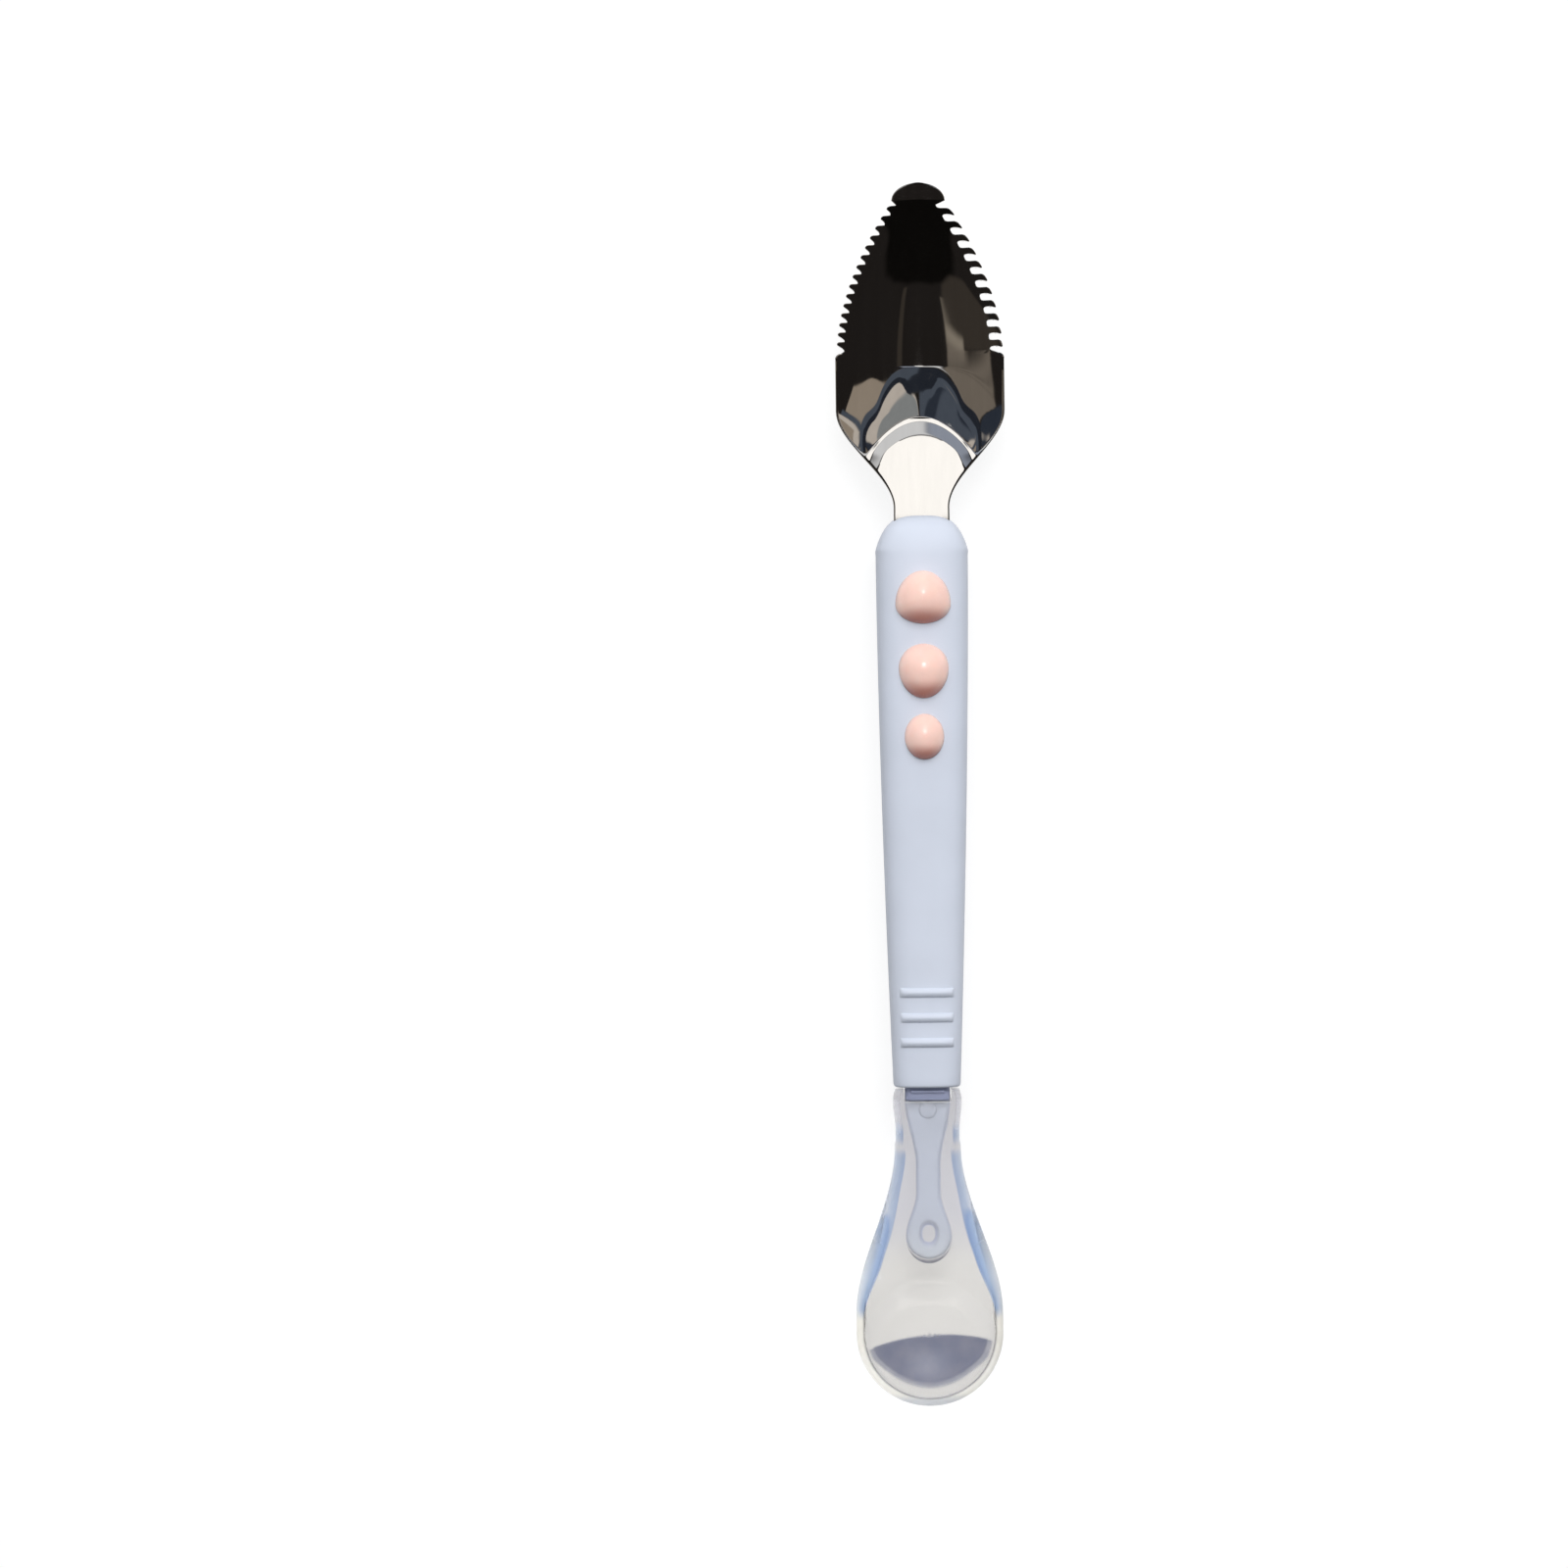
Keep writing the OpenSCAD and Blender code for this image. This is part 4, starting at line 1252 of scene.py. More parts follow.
    def build(self) -> Object:
        """Puts the bar, the tongue and the boss into one mesh.

        Returns:
            The core.
        """
        # Painted shade: the bar and its block below the shell take the full shade colour, the tongue's
        # rounded edges and the dish round its hole part of it, and the boss none.
        skin = Skin().add(self.bar(), cols_close=True, bare=1.0)
        for half in self.plate():
            fallen = self.tongue_t / 2 - np.abs(half[..., 2] - self.core_z)
            shade = self.edge_shade * ease(fallen / self.tongue_edge_r)
            skin.add(half, bare=shade)
            skin.add(half * np.array([-1.0, 1.0, 1.0]), bare=shade)
        skin.add(self.boss(), cols_close=True, bare=0.0)
        return skin.build("core_and_tongue", sharp_deg=50.0)


@dataclass
class GripBead(Piece):
    """A soft pink dome set into the grip: two half-ellipses in plan that share their widest line."""

    slot: ClassVar[Slot] = Slot.BEAD
    node: Node
    shape: HandleShape
    from_top: float
    width: float
    up: float
    down: float
    height: float
    skirt: float = 0.6
    sink: float = 0.1
    # Where the painted shade starts and how far it runs, by how much a slope faces -Y.
    deep_run: Run = (0.25, 0.65)
    dome_rows: int = 40
    ring_points: int = 96

    def build(self) -> Object:
        """Raises the outline into a dome, and sinks its skirt into the shell.

        Returns:
            The bead.
        """
        middle_y = self.shape.stations.shell.top_y - self.from_top
        angle = np.linspace(0.0, 2 * math.pi, self.ring_points, endpoint=False)[None, :]
        lift = quarter(self.dome_rows)[:, None]
        out_x = self.width / 2 * np.cos(angle)
        out_y = np.where(np.sin(angle) > 0, self.up, self.down) * np.sin(angle)
        side_z = float(self.shape.top_z(np.array(self.width / 2), np.array(middle_y))) - self.sink
        crest_z = float(self.shape.top_z(np.array(0.0), np.array(middle_y))) + self.height
        lean = (self.up - self.down) / 2 * (1.0 - np.cos(lift))
        dome_y = middle_y + out_y * np.cos(lift) + lean
        dome = grid(out_x * np.cos(lift), dome_y, mix(side_z, crest_z, np.sin(lift)))
        middle_to_edge = np.array([[0.0], [1.0]])
        foot = grid(out_x * middle_to_edge, middle_y + out_y * middle_to_edge, side_z - self.skirt)
        # Painted shade: darker on the slopes that face -Y, away from the key light, most at the foot and
        # none at the crest.
        faces_down = -np.sin(angle) * np.concatenate([[[1.0], [1.0]], np.cos(lift)])
        deep = over(faces_down, self.deep_run)
        bead = Skin().add(np.concatenate([foot, dome]), cols_close=True, deep=deep)
        return bead.build("pink_" + self.node.value, sharp_deg=60.0)


@dataclass(frozen=True)
class SiliconeTints:
    """Where the silicone's colours change.

    The runs go along the spoon from the collar's lower edge or from the bowl's middle, or across the flank,
    which is 0 at the flat face and 1 at the outline.
    """

    # Where the painted blue reflection on the flanks starts and fades.
    blue_across: Run = (0.0, 0.1)
    blue_before_middle: Run = (1.7, 2.0)
    blue_under_before_middle: Run = (6.0, 3.0)
    clear_line_from_collar: Run = (0.9, 0.8)
    flank_least: float = 0.45
    flank_from_collar: Run = (5.0, 7.0)
    grey_from_collar: Run = (-2.8, 1.6)
    grey_from_middle: Run = (8.6, 1.4)
    neck_from_collar: Run = (10.0, 9.0)
    rim_across: Run = (0.0, 0.3)
    rim_under_across: Run = (0.75, 0.25)
    rim_from_middle: Run = (-17.0, 10.0)
    mouth_rim: float = 0.8
    mouth_foot: float = 0.5
    mouth_run: Run = (0.0, 0.45)
    # How much of the toe's painted shade the pocket takes past the tongue's end.
    pocket_toe: float = 0.8
    past_tongue: float = 0.1


@dataclass
class SiliconeBowl(Piece):
    """The clear silicone spoon: a sleeve with a pocket for the tongue, swelling out into a round bowl.

    Places on it are a distance x from the middle and a distance d from its mouth.
    """

    node: ClassVar[Node] = Node.SILICONE
    slot: ClassVar[Slot] = Slot.SILICONE
    body: ClassVar[Body] = Body.HEAD
    stations: Stations
    tongue: Tongue
    core_z: float
    block_end_y: float
    mouth_w: float = 10.0
    waist_w: float = 9.3
    sleeve_t: float = 5.8
    rim_z: float = 7.9
    bowl_depth: float = 5.2
    bowl_wall: float = 1.4
    lip_w: float = 1.2
    lip_t: float = 1.4
    collar_d: float = 7.4
    collar_step: float = 0.3
    collar_run: float = 0.8
    mouth_bevel: float = 0.8
    bevel_run: float = 1.6
    narrow_run: Run = (2.0, 4.0)
    swell_from: float = 8.5
    swell_short: float = 2.7
    turn_over: float = 3.0
    sleeve_power: float = 3.4
    bowl_gap: float = 0.5
    dip_power: float = 2.4
    dip_steepness: Tuple[float, float] = (1.5, 0.7)
    steep_run: Run = (-6.0, 8.0)
    collar_flank_w: float = 1.1
    neck_flank_w: float = 1.6
    flank_w: float = 2.6
    flank_power: float = 1.7
    neck_run: Run = (0.0, 2.0)
    widen_run: Run = (5.5, 10.0)
    thin_run: Run = (-10.0, 8.0)
    # Where the painted shade of the toe lies.
    toe_line: Triple = (0.9, -0.07, 0.012)
    toe_back: float = 2.4
    toe_bow: float = 0.064
    toe_inset: float = 0.3
    toe_soft: Triple = (0.3, 0.5, 0.4)
    horn_x: float = 3.4
    horn_soft: float = 0.24
    notch_gap: float = 0.15
    notch_fade: float = 6.0
    side_gap: float = 0.12
    end_gap: float = 0.6
    pocket_t: float = 2.7
    pocket_from: float = 0.2
    boss_room: float = 0.3
    boss_room_run: Run = (2.5, 2.0)
    mouth_rows: float = 5.0
    step_rows: float = 1.2
    body_rows: Tuple[int, ...] = (23, 7, 11, 89)
    fan_rows: int = 121
    pocket_rows: int = 80
    pocket_end_rows: int = 26
    bowl_cols: int = 34
    lip_cols: int = 16
    tints: SiliconeTints = SiliconeTints()

    def __post_init__(self) -> None:
        """Works out the bowl's stations from the frame and the driving sizes."""
        self.bowl_w = self.stations.head.width
        self.length = self.stations.head.top_y - self.stations.head.end_y
        self.tip_r = self.bowl_w / 2
        self.mid_d = self.length - self.tip_r
        self.pocket_end_d = self.stations.head.top_y - self.stations.core.end_y + self.end_gap
        self.bowl_start_d = self.pocket_end_d + self.bowl_gap
        self.in_r = self.tip_r - self.lip_w
        self.lip_mid_z = self.rim_z - self.lip_t / 2
        self.under = self.lip_mid_z - (self.rim_z - self.bowl_depth - self.bowl_wall)
        self.notch_d = self.stations.head.top_y - self.block_end_y + self.notch_gap

    def half_w(self, d: Array) -> Array:
        """Half-width: a collar that narrows to the waist, a small step, then a swell out to the bowl."""
        bevel = self.mouth_bevel * (1.0 - clamp01(d / self.bevel_run)) ** 2
        collar = mix(self.mouth_w, self.waist_w, over(d, self.narrow_run)) - bevel
        swell = over(d, (self.swell_from, self.mid_d - self.swell_short - self.swell_from))
        body = mix(self.waist_w + self.collar_step, self.bowl_w, swell)
        return mix(collar, body, over(d, (self.collar_d, self.collar_run))) / 2

    def turn(self, d: Array) -> Array:
        """How far the section has turned from the sleeve's into the bowl's."""
        return over(d, (self.swell_from, self.bowl_start_d + self.turn_over - self.swell_from))

    def dip(self, x: Array, d: Array) -> Array:
        """Depth of the egg-shaped bowl, which starts gently at the sleeve and steeply at its round lip."""
        up = self.mid_d - self.bowl_start_d
        along = np.where(d > self.mid_d, (d - self.mid_d) / self.in_r, (self.mid_d - d) / up)
        reach = np.sqrt((x / self.in_r) ** 2 + along ** 2)
        steep = mix(*self.dip_steepness, over(d - self.mid_d, self.steep_run))
        return self.bowl_depth * np.maximum(0.0, 1.0 - reach ** self.dip_power) ** steep

    def flank(self, d: Array) -> Array:
        """Width of the rounded flank beside the flat upper face."""
        sleeve = mix(self.collar_flank_w, self.neck_flank_w, over(d - self.collar_d, self.neck_run))
        wide = mix(sleeve, self.flank_w, over(d - self.collar_d, self.widen_run))
        return mix(wide, self.lip_w, over(d - self.mid_d, self.thin_run))

    def faces(self, x: Array, d: Array, share: Array, edge: Array) -> Tuple[Array, Array]:
        """Heights of the upper and the lower face.

        Args:
            x: Distances from the middle.
            d: Distances from the mouth.
            share: 0 at the middle and 1 at the outline.
            edge: The share where the flat face ends.

        Returns:
            The upper face, flat up to its rounded flank, less the bowl; and the lower face, an arch.
        """
        t = self.turn(d)
        mid = mix(self.core_z, self.lip_mid_z, t)
        off = clamp01((share - edge) / (1.0 - edge))
        rise = mix(self.sleeve_t, self.lip_t, t) / 2 * arch(off, mix(self.flank_power, 2.0, t))
        fall = mix(self.sleeve_t / 2, self.under, t) * arch(share, mix(self.sleeve_power, 2.0, t))
        return mid + rise - self.dip(x, d), mid - fall

    def toe(self, x: Array, d: Array) -> Array:
        """Where the bowl's toe carries painted shade: a lens between an arched line and a rounder one."""
        start, tilt, bow = self.toe_line
        above = self.mid_d + start + tilt * x + bow * x ** 2
        below = self.length - self.toe_back - self.toe_bow * x ** 2
        inside = self.in_r - self.toe_inset - np.hypot(x, d - self.mid_d)
        ways = zip((d - above, below - d, inside), self.toe_soft)
        return math.prod(soft_edge(way, soft) for way, soft in ways)

    def rows(self) -> Tuple[Array, Array, Array, Array]:
        """The rows' outer and inner ends, from the mouth's right corner round the tip to its left corner.

        Returns:
            The outer ends' x and d, the inner ends' d on the middle line, and the flank's width.
        """
        stops = (self.mouth_rows, self.collar_d, self.collar_d + self.step_rows, self.mid_d)
        body = np.round(np.append(0.0, legs(0.0, *zip(stops, self.body_rows))), ROW_DECIMALS)
        fan = np.linspace(0.0, math.pi, self.fan_rows)[1:-1]
        out_x = np.concatenate([self.half_w(body), self.tip_r * np.cos(fan), -self.half_w(body)[::-1]])
        out_d = np.concatenate([body, self.mid_d + self.tip_r * np.sin(fan), body[::-1]])
        in_d = np.concatenate([body, np.full_like(fan, self.mid_d), body[::-1]])
        return out_x, out_d, in_d, self.flank(np.minimum(out_d, self.mid_d))

    def build(self) -> Object:
        """Skins the outer faces along the outline, turns in at the mouth, and lines the pocket.

        Returns:
            The silicone head.
        """
        out_x, out_d, in_d, flank = self.rows()
        reach = np.hypot(out_x, out_d - in_d)
        edge = ((reach - flank) / reach)[:, None]
        inner = np.sin(np.linspace(0.0, math.pi / 2, self.bowl_cols))[None, :]
        outer = np.sin(np.linspace(0.0, math.pi / 2, self.lip_cols + 1))[None, 1:]
        share = np.concatenate([edge * inner, mix(edge, 1.0, outer)], axis=1)
        x = share * out_x[:, None]
        d = mix(in_d[:, None], out_d[:, None], share)
        top, under = self.faces(x, d, share, np.broadcast_to(edge, share.shape))
        step = soft_edge(self.horn_x - np.abs(x), self.horn_soft)
        placed = d + self.notch_d * step * (1.0 - ease(d / self.notch_fade))
        y = self.stations.head.top_y - placed
        upper, lower = self.colours(x, d, clamp01((share - edge) / (1.0 - edge)))
        outside = grid(there_and_back(x, x), there_and_back(y, y), there_and_back(top, under))
        values = {name: there_and_back(value, lower[name]) for name, value in upper.items()}
        skin = Skin().add(outside, **values)
        face = [self.tints.mouth_rim, self.tints.mouth_rim, self.tints.mouth_foot]
        for row, sign in ((0, 1.0), (-1, -1.0)):
            pocket = self.pocket(*outside[row].T, sign)
            mouth = np.array(face + [0.0] * (len(pocket) - len(face)))[:, None]
            # Painted shade: past the tongue's round end the pocket takes the toe's dark colour, a dark
            # crescent round the tongue's end.
            end = self.past_tongue(pocket)
            skin.add(pocket, blue=0.0, flank=0.0, grey=0.0, neck=1.0, rim=mouth,
                     toe=self.tints.pocket_toe * end, lining=(mouth == 0.0) * (1.0 - end))
        piece = skin.build("clear_silicone_bowl", sharp_deg=50.0)
        piece.visible_shadow = False
        return piece

    def colours(self, x: Array, d: Array, off: Array) -> Tuple[Dict[str, Array], Dict[str, Array]]:
        """What the outer faces' points carry for their colour.

        Args:
            x: Distances from the middle.
            d: Distances from the mouth.
            off: 0 on the flat face, up to 1 at the outline.

        Returns:
            The values of the upper face and of the lower face, under the attributes' names.
        """
        tints = self.tints
        from_collar, from_middle = d - self.collar_d, d - self.mid_d
        line_at, line_w = tints.clear_line_from_collar
        off_line = 1.0 - np.exp(-((from_collar - line_at) / line_w) ** 2)
        lip = over(off, tints.rim_across) * over(from_middle, tints.rim_from_middle)
        mouth = tints.mouth_rim * (1.0 - over(d, tints.mouth_run))
        upper = {
            # blue and flank carry the painted blue reflection on the rounded flanks.
            "blue": over(off, tints.blue_across) * over(-from_middle, tints.blue_before_middle) * off_line,
            "flank": off * mix(tints.flank_least, 1.0, over(from_collar, tints.flank_from_collar)),
            "grey": np.maximum(1.0 - over(from_collar, tints.grey_from_collar),
                               over(from_middle, tints.grey_from_middle)),
            "neck": 1.0 - over(from_collar, tints.neck_from_collar),
            "rim": np.maximum(lip, mouth),
            # Painted shade in the bowl's toe.
            "toe": self.toe(x, d),
            "lining": np.zeros_like(x),
        }
        lower = dict(upper)
        lower["blue"] = upper["blue"] * over(-from_middle, tints.blue_under_before_middle)
        lower["rim"] = np.maximum(lip * over(off, tints.rim_under_across), mouth)
        return upper, lower

    def past_tongue(self, pocket: Array) -> Array:
        """How far the pocket's points are past the tongue's round end, by the distance from its middle."""
        s = self.block_end_y - pocket[..., 1] - self.tongue.length + self.tongue.half_w
        past = np.hypot(pocket[..., 0], s) / self.tongue.half_w - 1.0
        return ease(past / self.tints.past_tongue) * (s > 0.0)

    def pocket(self, x: Array, y: Array, z: Array, sign: float) -> Array:
        """One half of the mouth's face and of the pocket, from the mouth's edge to the pocket's round end.

        The rows are the mouth's edge, the horn's inner edge, its foot, the pocket's opening, and then the
        pocket along the tongue, whose half-width follows the tongue's.

        Args:
            x: The mouth's edge across the spoon.
            y: The same along the spoon.
            z: The same in height.
            sign: 1 for the right half and -1 for the left.

        Returns:
            The rows of points.
        """
        floor_y = self.stations.head.top_y - self.notch_d
        wall_x = sign * np.minimum(np.abs(x), self.horn_x)
        up, tall = np.sign(z - self.core_z), np.abs(z - self.core_z)
        flat_z = self.core_z + up * np.minimum(tall, self.pocket_t / 2)
        horn = np.abs(x) >= self.horn_x
        share = wall_x / self.horn_x
        fall = np.where(horn, clamp01(tall / tall[horn].max()), 1.0)
        opening_z = self.core_z + up * self.pocket_t / 2 * fall
        s_end = self.tongue.length + self.end_gap
        round_at = self.tongue.length - self.tongue.half_w
        straight = np.linspace(self.pocket_from, round_at, self.pocket_rows)[:-1]
        rounded = round_at + (s_end - round_at) * np.sin(quarter(self.pocket_end_rows))
        s = np.concatenate([straight, rounded])[:, None]
        half = self.tongue.width(s, self.side_gap, self.end_gap)
        ceiling = 1.0 + self.boss_room * (1.0 - over(s, self.boss_room_run))
        lining = grid(share[None, :] * half, self.block_end_y - s,
                      self.core_z + (opening_z - self.core_z)[None, :] * ceiling)
        first = [grid(x, y, z)[None], grid(wall_x, y, z)[None], grid(wall_x, floor_y, z)[None],
                 grid(wall_x, floor_y, np.where(horn, opening_z, flat_z))[None]]
        return np.concatenate(first + [lining])


class Tone(Enum):
    """What the steel mirrors: colours of light, as red, green and blue."""

    ROOM = (0.017, 0.0145, 0.0133)
    BLACK = (0.0045, 0.004, 0.0035)
    SHADE = (0.02, 0.024, 0.034)
    DIM = (0.047, 0.039, 0.032)
    TAN = (0.36, 0.30, 0.24)
    BROWN = (0.20, 0.17, 0.14)
    CREAM = (0.30, 0.26, 0.21)
    NAVY = (0.03, 0.038, 0.055)
    SLATE = (0.08, 0.096, 0.125)
    TEAL = (0.29, 0.305, 0.31)
    SAND = (0.62, 0.56, 0.50)
    HAZE = (0.36, 0.40, 0.49)
    SILVER = (0.85, 0.86, 0.88)
    WHITE = (1.5, 1.47, 1.43)


@dataclass(frozen=True)
class Card:
    """A soft-edged card of the studio that polished metal mirrors.

    Its corners are directions from the spoon: the roll from straight up towards +X and the pitch from
    straight up towards +Y, in degrees.
    """

    tone: Tone
    soft: float
    corners: Tuple[Tuple[float, float], ...]
    bands: float = 0.0
    band_rates: ClassVar[Run] = (1.7, 0.1)
    band_top: ClassVar[float] = 22.0
    band_fade: ClassVar[float] = 6.0

    def weight(self, roll: Array, pitch: Array) -> Array:
        """1 inside the card and 0 outside, eased over its soft edge by the distance from its outline."""
        away = np.full(roll.shape, np.inf)
        within = np.zeros(roll.shape, dtype=bool)
        for (ax, ay), (bx, by) in zip(self.corners, self.corners[1:] + self.corners[:1]):
            ex, ey = bx - ax, by - ay
            t = clamp01(((roll - ax) * ex + (pitch - ay) * ey) / (ex * ex + ey * ey))
            away = np.minimum(away, np.hypot(roll - ax - t * ex, pitch - ay - t * ey))
            if ey:
                within ^= ((ay > pitch) != (by > pitch)) & (roll < ax + (pitch - ay) * ex / ey)
        return soft_edge(np.where(within, away, -away), self.soft)

    def colour(self, roll: Array, pitch: Array) -> Array:
        """The card's colour, with faint bands along the roll that fade towards the horizon."""
        wave = 0.5 + 0.5 * np.sin(self.band_rates[0] * pitch + self.band_rates[1] * roll)
        level = 1.0 - self.bands * wave * clamp01((self.band_top - pitch) / self.band_fade)
        return level[..., None] * np.array(self.tone.value)


CARDS = (
    Card(Tone.BLACK, 6.0, ((-72, -89), (-66, -50), (-56, -28), (-40, -14), (-18, -7),
                           (18, -7), (40, -14), (56, -28), (66, -50), (72, -89))),
    Card(Tone.DIM, 5.0, ((-27, 6), (-34, -10), (-50, -24), (-66, -34), (-76, -10), (-73, 13))),
    Card(Tone.DIM, 2.0, ((17, -4), (22, -4), (23, 16), (18, 16))),
    Card(Tone.NAVY, 2.0, ((-90, 23), (-66, 22), (-40, 33), (-8, 53), (-8, 58), (-90, 58))),
    Card(Tone.TAN, 1.5, ((63, 18), (46, 22), (34, 29), (20, 36), (6, 45),
                         (9, 52), (22, 48), (36, 41), (50, 34), (62, 27))),
    Card(Tone.SLATE, 3.0, ((68, 26), (50, 33), (34, 40), (20, 46), (9, 50.5),
                           (13, 53), (24, 50.5), (36, 47), (52, 43), (70, 38))),
    Card(Tone.SAND, 3.0, ((72, 38), (52, 43), (36, 47), (24, 50.5), (13, 53),
                          (16, 58), (46, 60), (90, 60), (90, 40))),
    Card(Tone.BROWN, 2.0, ((-27, 4.5), (-36, 5.5), (-43, 8.5), (-50, 11), (-67, 12.5), (-67, 17), (-62, 23),
                           (-42, 31), (-22, 42), (-8, 50), (-14, 38), (-22, 22), (-27, 12)), bands=0.3),
    Card(Tone.CREAM, 3.0, ((-27, 3), (-44, 5), (-44, 9), (-27, 6))),
    Card(Tone.SAND, 3.0, ((-3, 53), (-20, 52), (-50, 58), (-90, 88), (-90, 90), (-3, 90))),
    Card(Tone.SLATE, 3.0, ((5, 53), (20, 52), (50, 60), (90, 88), (90, 90), (5, 90))),
    Card(Tone.TAN, 2.0, ((74, 73), (48, 57), (40, 52), (90, 52), (90, 73))),
    Card(Tone.NAVY, 2.0, ((-74, 73), (-48, 57), (-30, 50), (-90, 40), (-90, 73))),
    Card(Tone.NAVY, 4.0, ((26, 58), (70, 84), (40, 84), (24, 74))),
    Card(Tone.TEAL, 3.0, ((-90, 70), (-9, 69), (-4, 78), (-10, 90), (-90, 90))),
    Card(Tone.SHADE, 2.0, ((-15, 38), (15, 38), (15, 50), (8, 57), (9, 66),
                           (9, 73), (-8, 73), (-8, 66), (-9, 57), (-15, 50))),
    Card(Tone.SLATE, 3.0, ((1, 36), (17, 36), (17, 50), (8, 58), (4, 56))),
    Card(Tone.SILVER, 3.0, ((-20, 20), (4, 23), (3, 33), (-16, 33))),
    Card(Tone.HAZE, 3.0, ((20, 20), (4, 23), (3, 33), (16, 33))),
    Card(Tone.WHITE, 1.0, ((-2, 11.3), (5, 11.3), (5, 21), (-2, 21))),
)


@dataclass
class Studio:
    """A pale floor, three soft lamps, light all round, and the dark room that the steel mirrors."""

    floor_half: float = 4000.0
    floor_z: float = -0.05
    floor_points: int = 9
    floor_tone: float = 0.7
    seen_tone: float = 0.25
    seen_glow: float = 0.82
    room_r: float = 3000.0
    room_y: float = 62.0
    room_edge: float = 89.75
    room_step: float = 0.5
    ambient: Tuple[float, float] = (0.1, 0.81)
    sky: Colour = (0.97, 0.985, 1.0, 1.0)

    def floor(self) -> None:
        """A wide pale floor that keeps a faint shadow."""
        side = np.linspace(-self.floor_half, self.floor_half, self.floor_points)
        made = Skin().add(grid(side[:, None], side[None, :], self.floor_z)).build("studio_floor")
        material = bpy.data.materials.new("floor_white")
        sheet = Sheet.for_material(material, "ShaderNodeAddShader")
        tone = self.seen(sheet, self.floor_tone, self.seen_tone)
        diffuse = sheet.add("ShaderNodeBsdfDiffuse", {"Color": tone})
        glow = sheet.add("ShaderNodeEmission", {"Strength": self.seen(sheet, 0.0, self.seen_glow)})
        sheet.feed(sheet.shader, {0: diffuse.outputs[0], 1: glow.outputs[0]})
        made.data.materials.append(material)

    @staticmethod
    def seen(sheet: Sheet, unseen: Any, seen: float) -> Socket:
        """A strength for rays from the camera, off metal and through glass, and another for the rest."""
        path = sheet.add("ShaderNodeLightPath").outputs
        share = path["Is Camera Ray"]
        for kind in ("Is Glossy Ray", "Is Transmission Ray"):
            either = sheet.add("ShaderNodeMath", {0: share, 1: path[kind]}, operation="MAXIMUM")
            share = either.outputs[0]
        return sheet.spread(share, low=unseen, high=seen, start=0.0, end=1.0)

    def room(self) -> None:
        """The dark room with its cards: a dome, laid out by roll and pitch, that only gloss mirrors."""
        side = np.arange(-self.room_edge, self.room_edge + self.room_step / 2, self.room_step)
        roll, pitch = np.meshgrid(side, side, indexing="ij")
        colour = np.broadcast_to(np.array(Tone.ROOM.value), roll.shape + (3,))
        for card in CARDS:
            colour = mix(colour, card.colour(roll, pitch), card.weight(roll, pitch)[..., None])
        across, along = np.tan(np.radians(roll)), np.tan(np.radians(pitch))
        reach = self.room_r / np.sqrt(across ** 2 + along ** 2 + 1.0)
        dome = grid(reach * across, self.room_y + reach * along, reach)
        names = ("Red", "Green", "Blue")
        tints = {name: colour[..., index] for index, name in enumerate(names)}
        made = Skin().add(dome, **tints).build("studio_room")
        material = bpy.data.materials.new("room_dark")
        sheet = Sheet.for_material(material, "ShaderNodeEmission")
        parts = {name: sheet.attribute(name) for name in names}
        sheet.feed(sheet.shader, {"Color": sheet.add("ShaderNodeCombineColor", parts).outputs["Color"]})
        made.data.materials.append(material)
        for kind in ("camera", "diffuse", "transmission", "volume_scatter", "shadow"):
            setattr(made, "visible_" + kind, False)

    def world(self) -> None:
        """Soft light that grows from the -Y side to the +Y side, and white where a ray meets no floor."""
        world = bpy.data.worlds.new("studio_light")
        world.use_nodes = True
        sheet = Sheet(world.node_tree, "ShaderNodeOutputWorld", "ShaderNodeBackground")
        way = sheet.add("ShaderNodeTexCoord").outputs["Generated"]
        along = sheet.add("ShaderNodeSeparateXYZ", {"Vector": way}).outputs["Y"]
        soft = sheet.spread(along, *self.ambient, start=-1.0, end=1.0)
        sheet.feed(sheet.shader, {"Color": self.sky, "Strength": self.seen(sheet, soft, 1.0)})
        bpy.context.scene.world = world

    @staticmethod
    def lamp(name: str, place: Triple, size: float, power: float, lit: Sequence[Object] = (),
             glints: bool = False) -> None:
        """A soft square lamp that shines at the spoon's middle.

        Args:
            name: Its name.
            place: Where it stands, in metres.
            size: Its side, in metres.
            power: Its power, in watts.
            lit: The only pieces that it lights, or none for a lamp that lights all.
            glints: Polished and glossy pieces mirror it.
        """
        data = bpy.data.lights.new(name, "AREA")
        data.size = size
        data.energy = power
        lamp = bpy.data.objects.new(name, data)
        lamp.location = place
        lamp.rotation_euler = (-Vector(place)).to_track_quat("-Z", "Y").to_euler()
        lamp.visible_camera = False
        lamp.visible_glossy = glints
        lamp.visible_transmission = not lit
        if lit:
            lamp.light_linking.receiver_collection = bpy.data.collections.new(name + "_pieces")
            for piece in lit:
                lamp.light_linking.receiver_collection.objects.link(piece)
        bpy.context.scene.collection.objects.link(lamp)

    def build(self, dull: Sequence[Object], clear: Object) -> None:
        """Sets the whole stage.

        Args:
            dull: The plastic and rubber pieces, which a small lamp gives their glints.
            clear: The clear piece, whose rim a low lamp lights.
        """
        self.floor()
        self.room()
        self.world()
        self.lamp("key", place=(0.06, 0.55, 0.78), size=0.6, power=4.9)
        self.lamp("glint", place=(0.02, 0.36, 0.95), size=0.12, power=2.3, lit=dull, glints=True)
        self.lamp("rim_fill", place=(-0.2, -0.52, 0.2), size=0.5, power=2.4, lit=[clear])


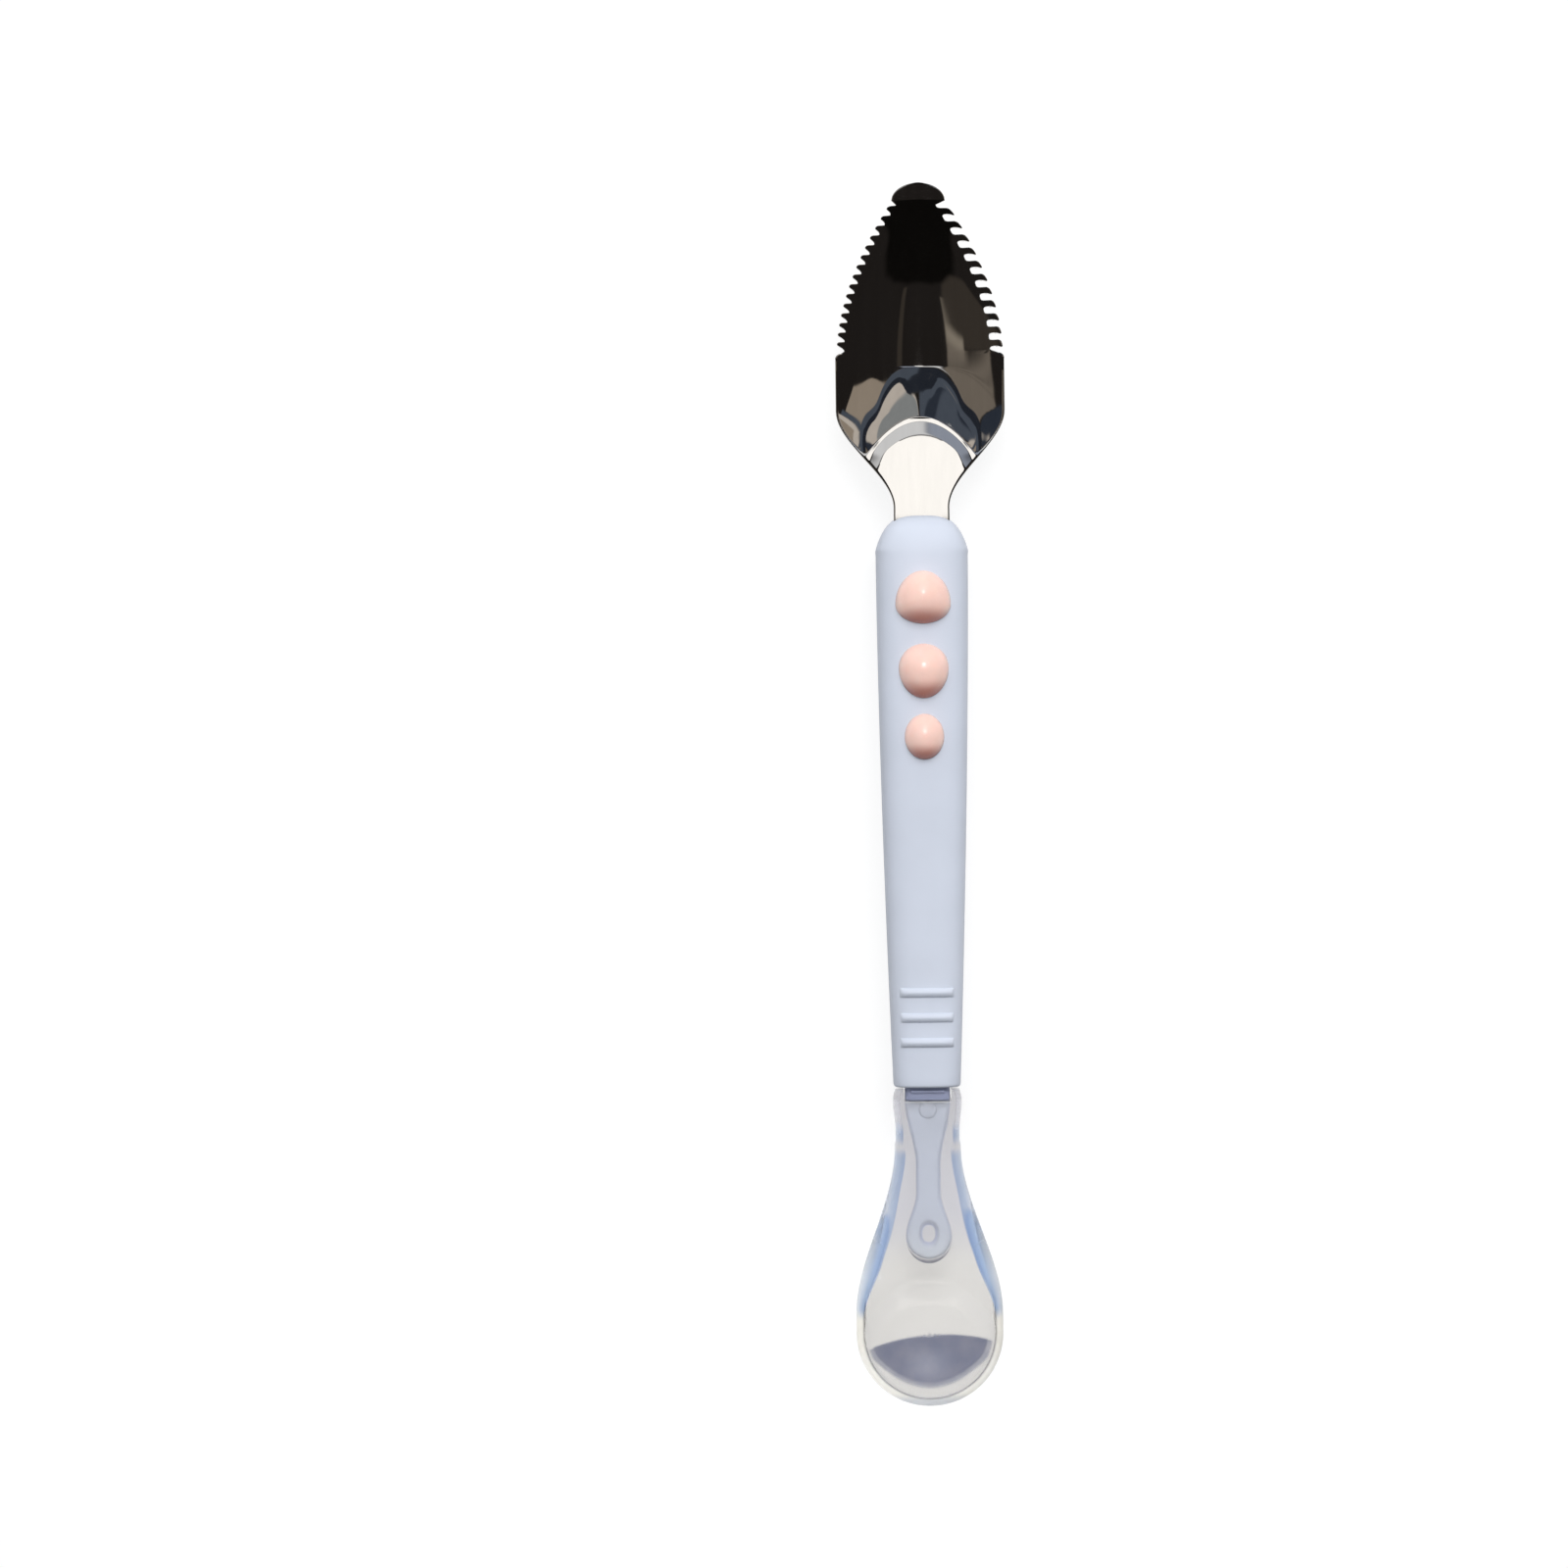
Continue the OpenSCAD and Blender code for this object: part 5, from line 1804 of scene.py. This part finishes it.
@dataclass(frozen=True)
class Viewpoint:
    """The camera straight above the spoon, turned by the spoon's small lean. Lengths are millimetres."""

    distance: float = 800.0
    plane_z: float = 5.0
    frame_side: float = 227.2
    place_x: float = -20.27
    place_y: float = 1.63
    turn_deg: float = -0.6
    sensor: float = 36.0
    clip_start: float = 10.0

    def build(self) -> None:
        """Creates the camera and makes it the scene's."""
        data = bpy.data.cameras.new("camera")
        data.sensor_width = self.sensor
        data.lens = self.sensor * self.distance / self.frame_side
        data.clip_start = self.clip_start * MM
        camera = bpy.data.objects.new("camera", data)
        camera.location = (self.place_x * MM, self.place_y * MM, (self.distance + self.plane_z) * MM)
        camera.rotation_euler = (0.0, 0.0, math.radians(self.turn_deg))
        bpy.context.scene.collection.objects.link(camera)
        bpy.context.scene.camera = camera


def plain(box: Tuple[Vector, Vector]) -> List[List[float]]:
    """A box as plain lists of numbers."""
    return [[float(value) for value in corner] for corner in box]


def main() -> None:
    """Builds and dresses each piece in order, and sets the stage."""
    logging.basicConfig(level=logging.INFO, format="%(name)s: %(message)s")
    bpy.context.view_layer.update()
    bpy.context.scene.view_settings.view_transform = "Standard"
    stations = Stations.from_frame()
    shape = HandleShape(stations)
    grip = SoftTouchFinish().material()
    pink = BeadFinish().material()

    core = HandleCore(stations)
    SteelSpoon(stations).install(SteelFinish().material())
    dull = [
        EndCap(stations, shape).install(grip),
        HandleShell(stations, shape).install(grip),
        core.install(CoreFinish().material()),
    ]
    dull += [bead.install(pink) for bead in (
        GripBead(Node.BEAD_UPPER, shape, from_top=7.1, width=8.0, up=4.9, down=2.8, height=2.9),
        GripBead(Node.BEAD_MIDDLE, shape, from_top=16.2, width=7.2, up=3.5, down=4.4, height=2.7),
        GripBead(Node.BEAD_LOWER, shape, from_top=26.1, width=5.7, up=3.3, down=3.3, height=2.3),
    )]
    bowl = SiliconeBowl(stations, core.tongue, core.core_z, core.block_end_y)
    clear = bowl.install(SiliconeFinish().material())

    Studio().build(dull, clear)
    Viewpoint().build()


if __name__ == "__main__":
    main()
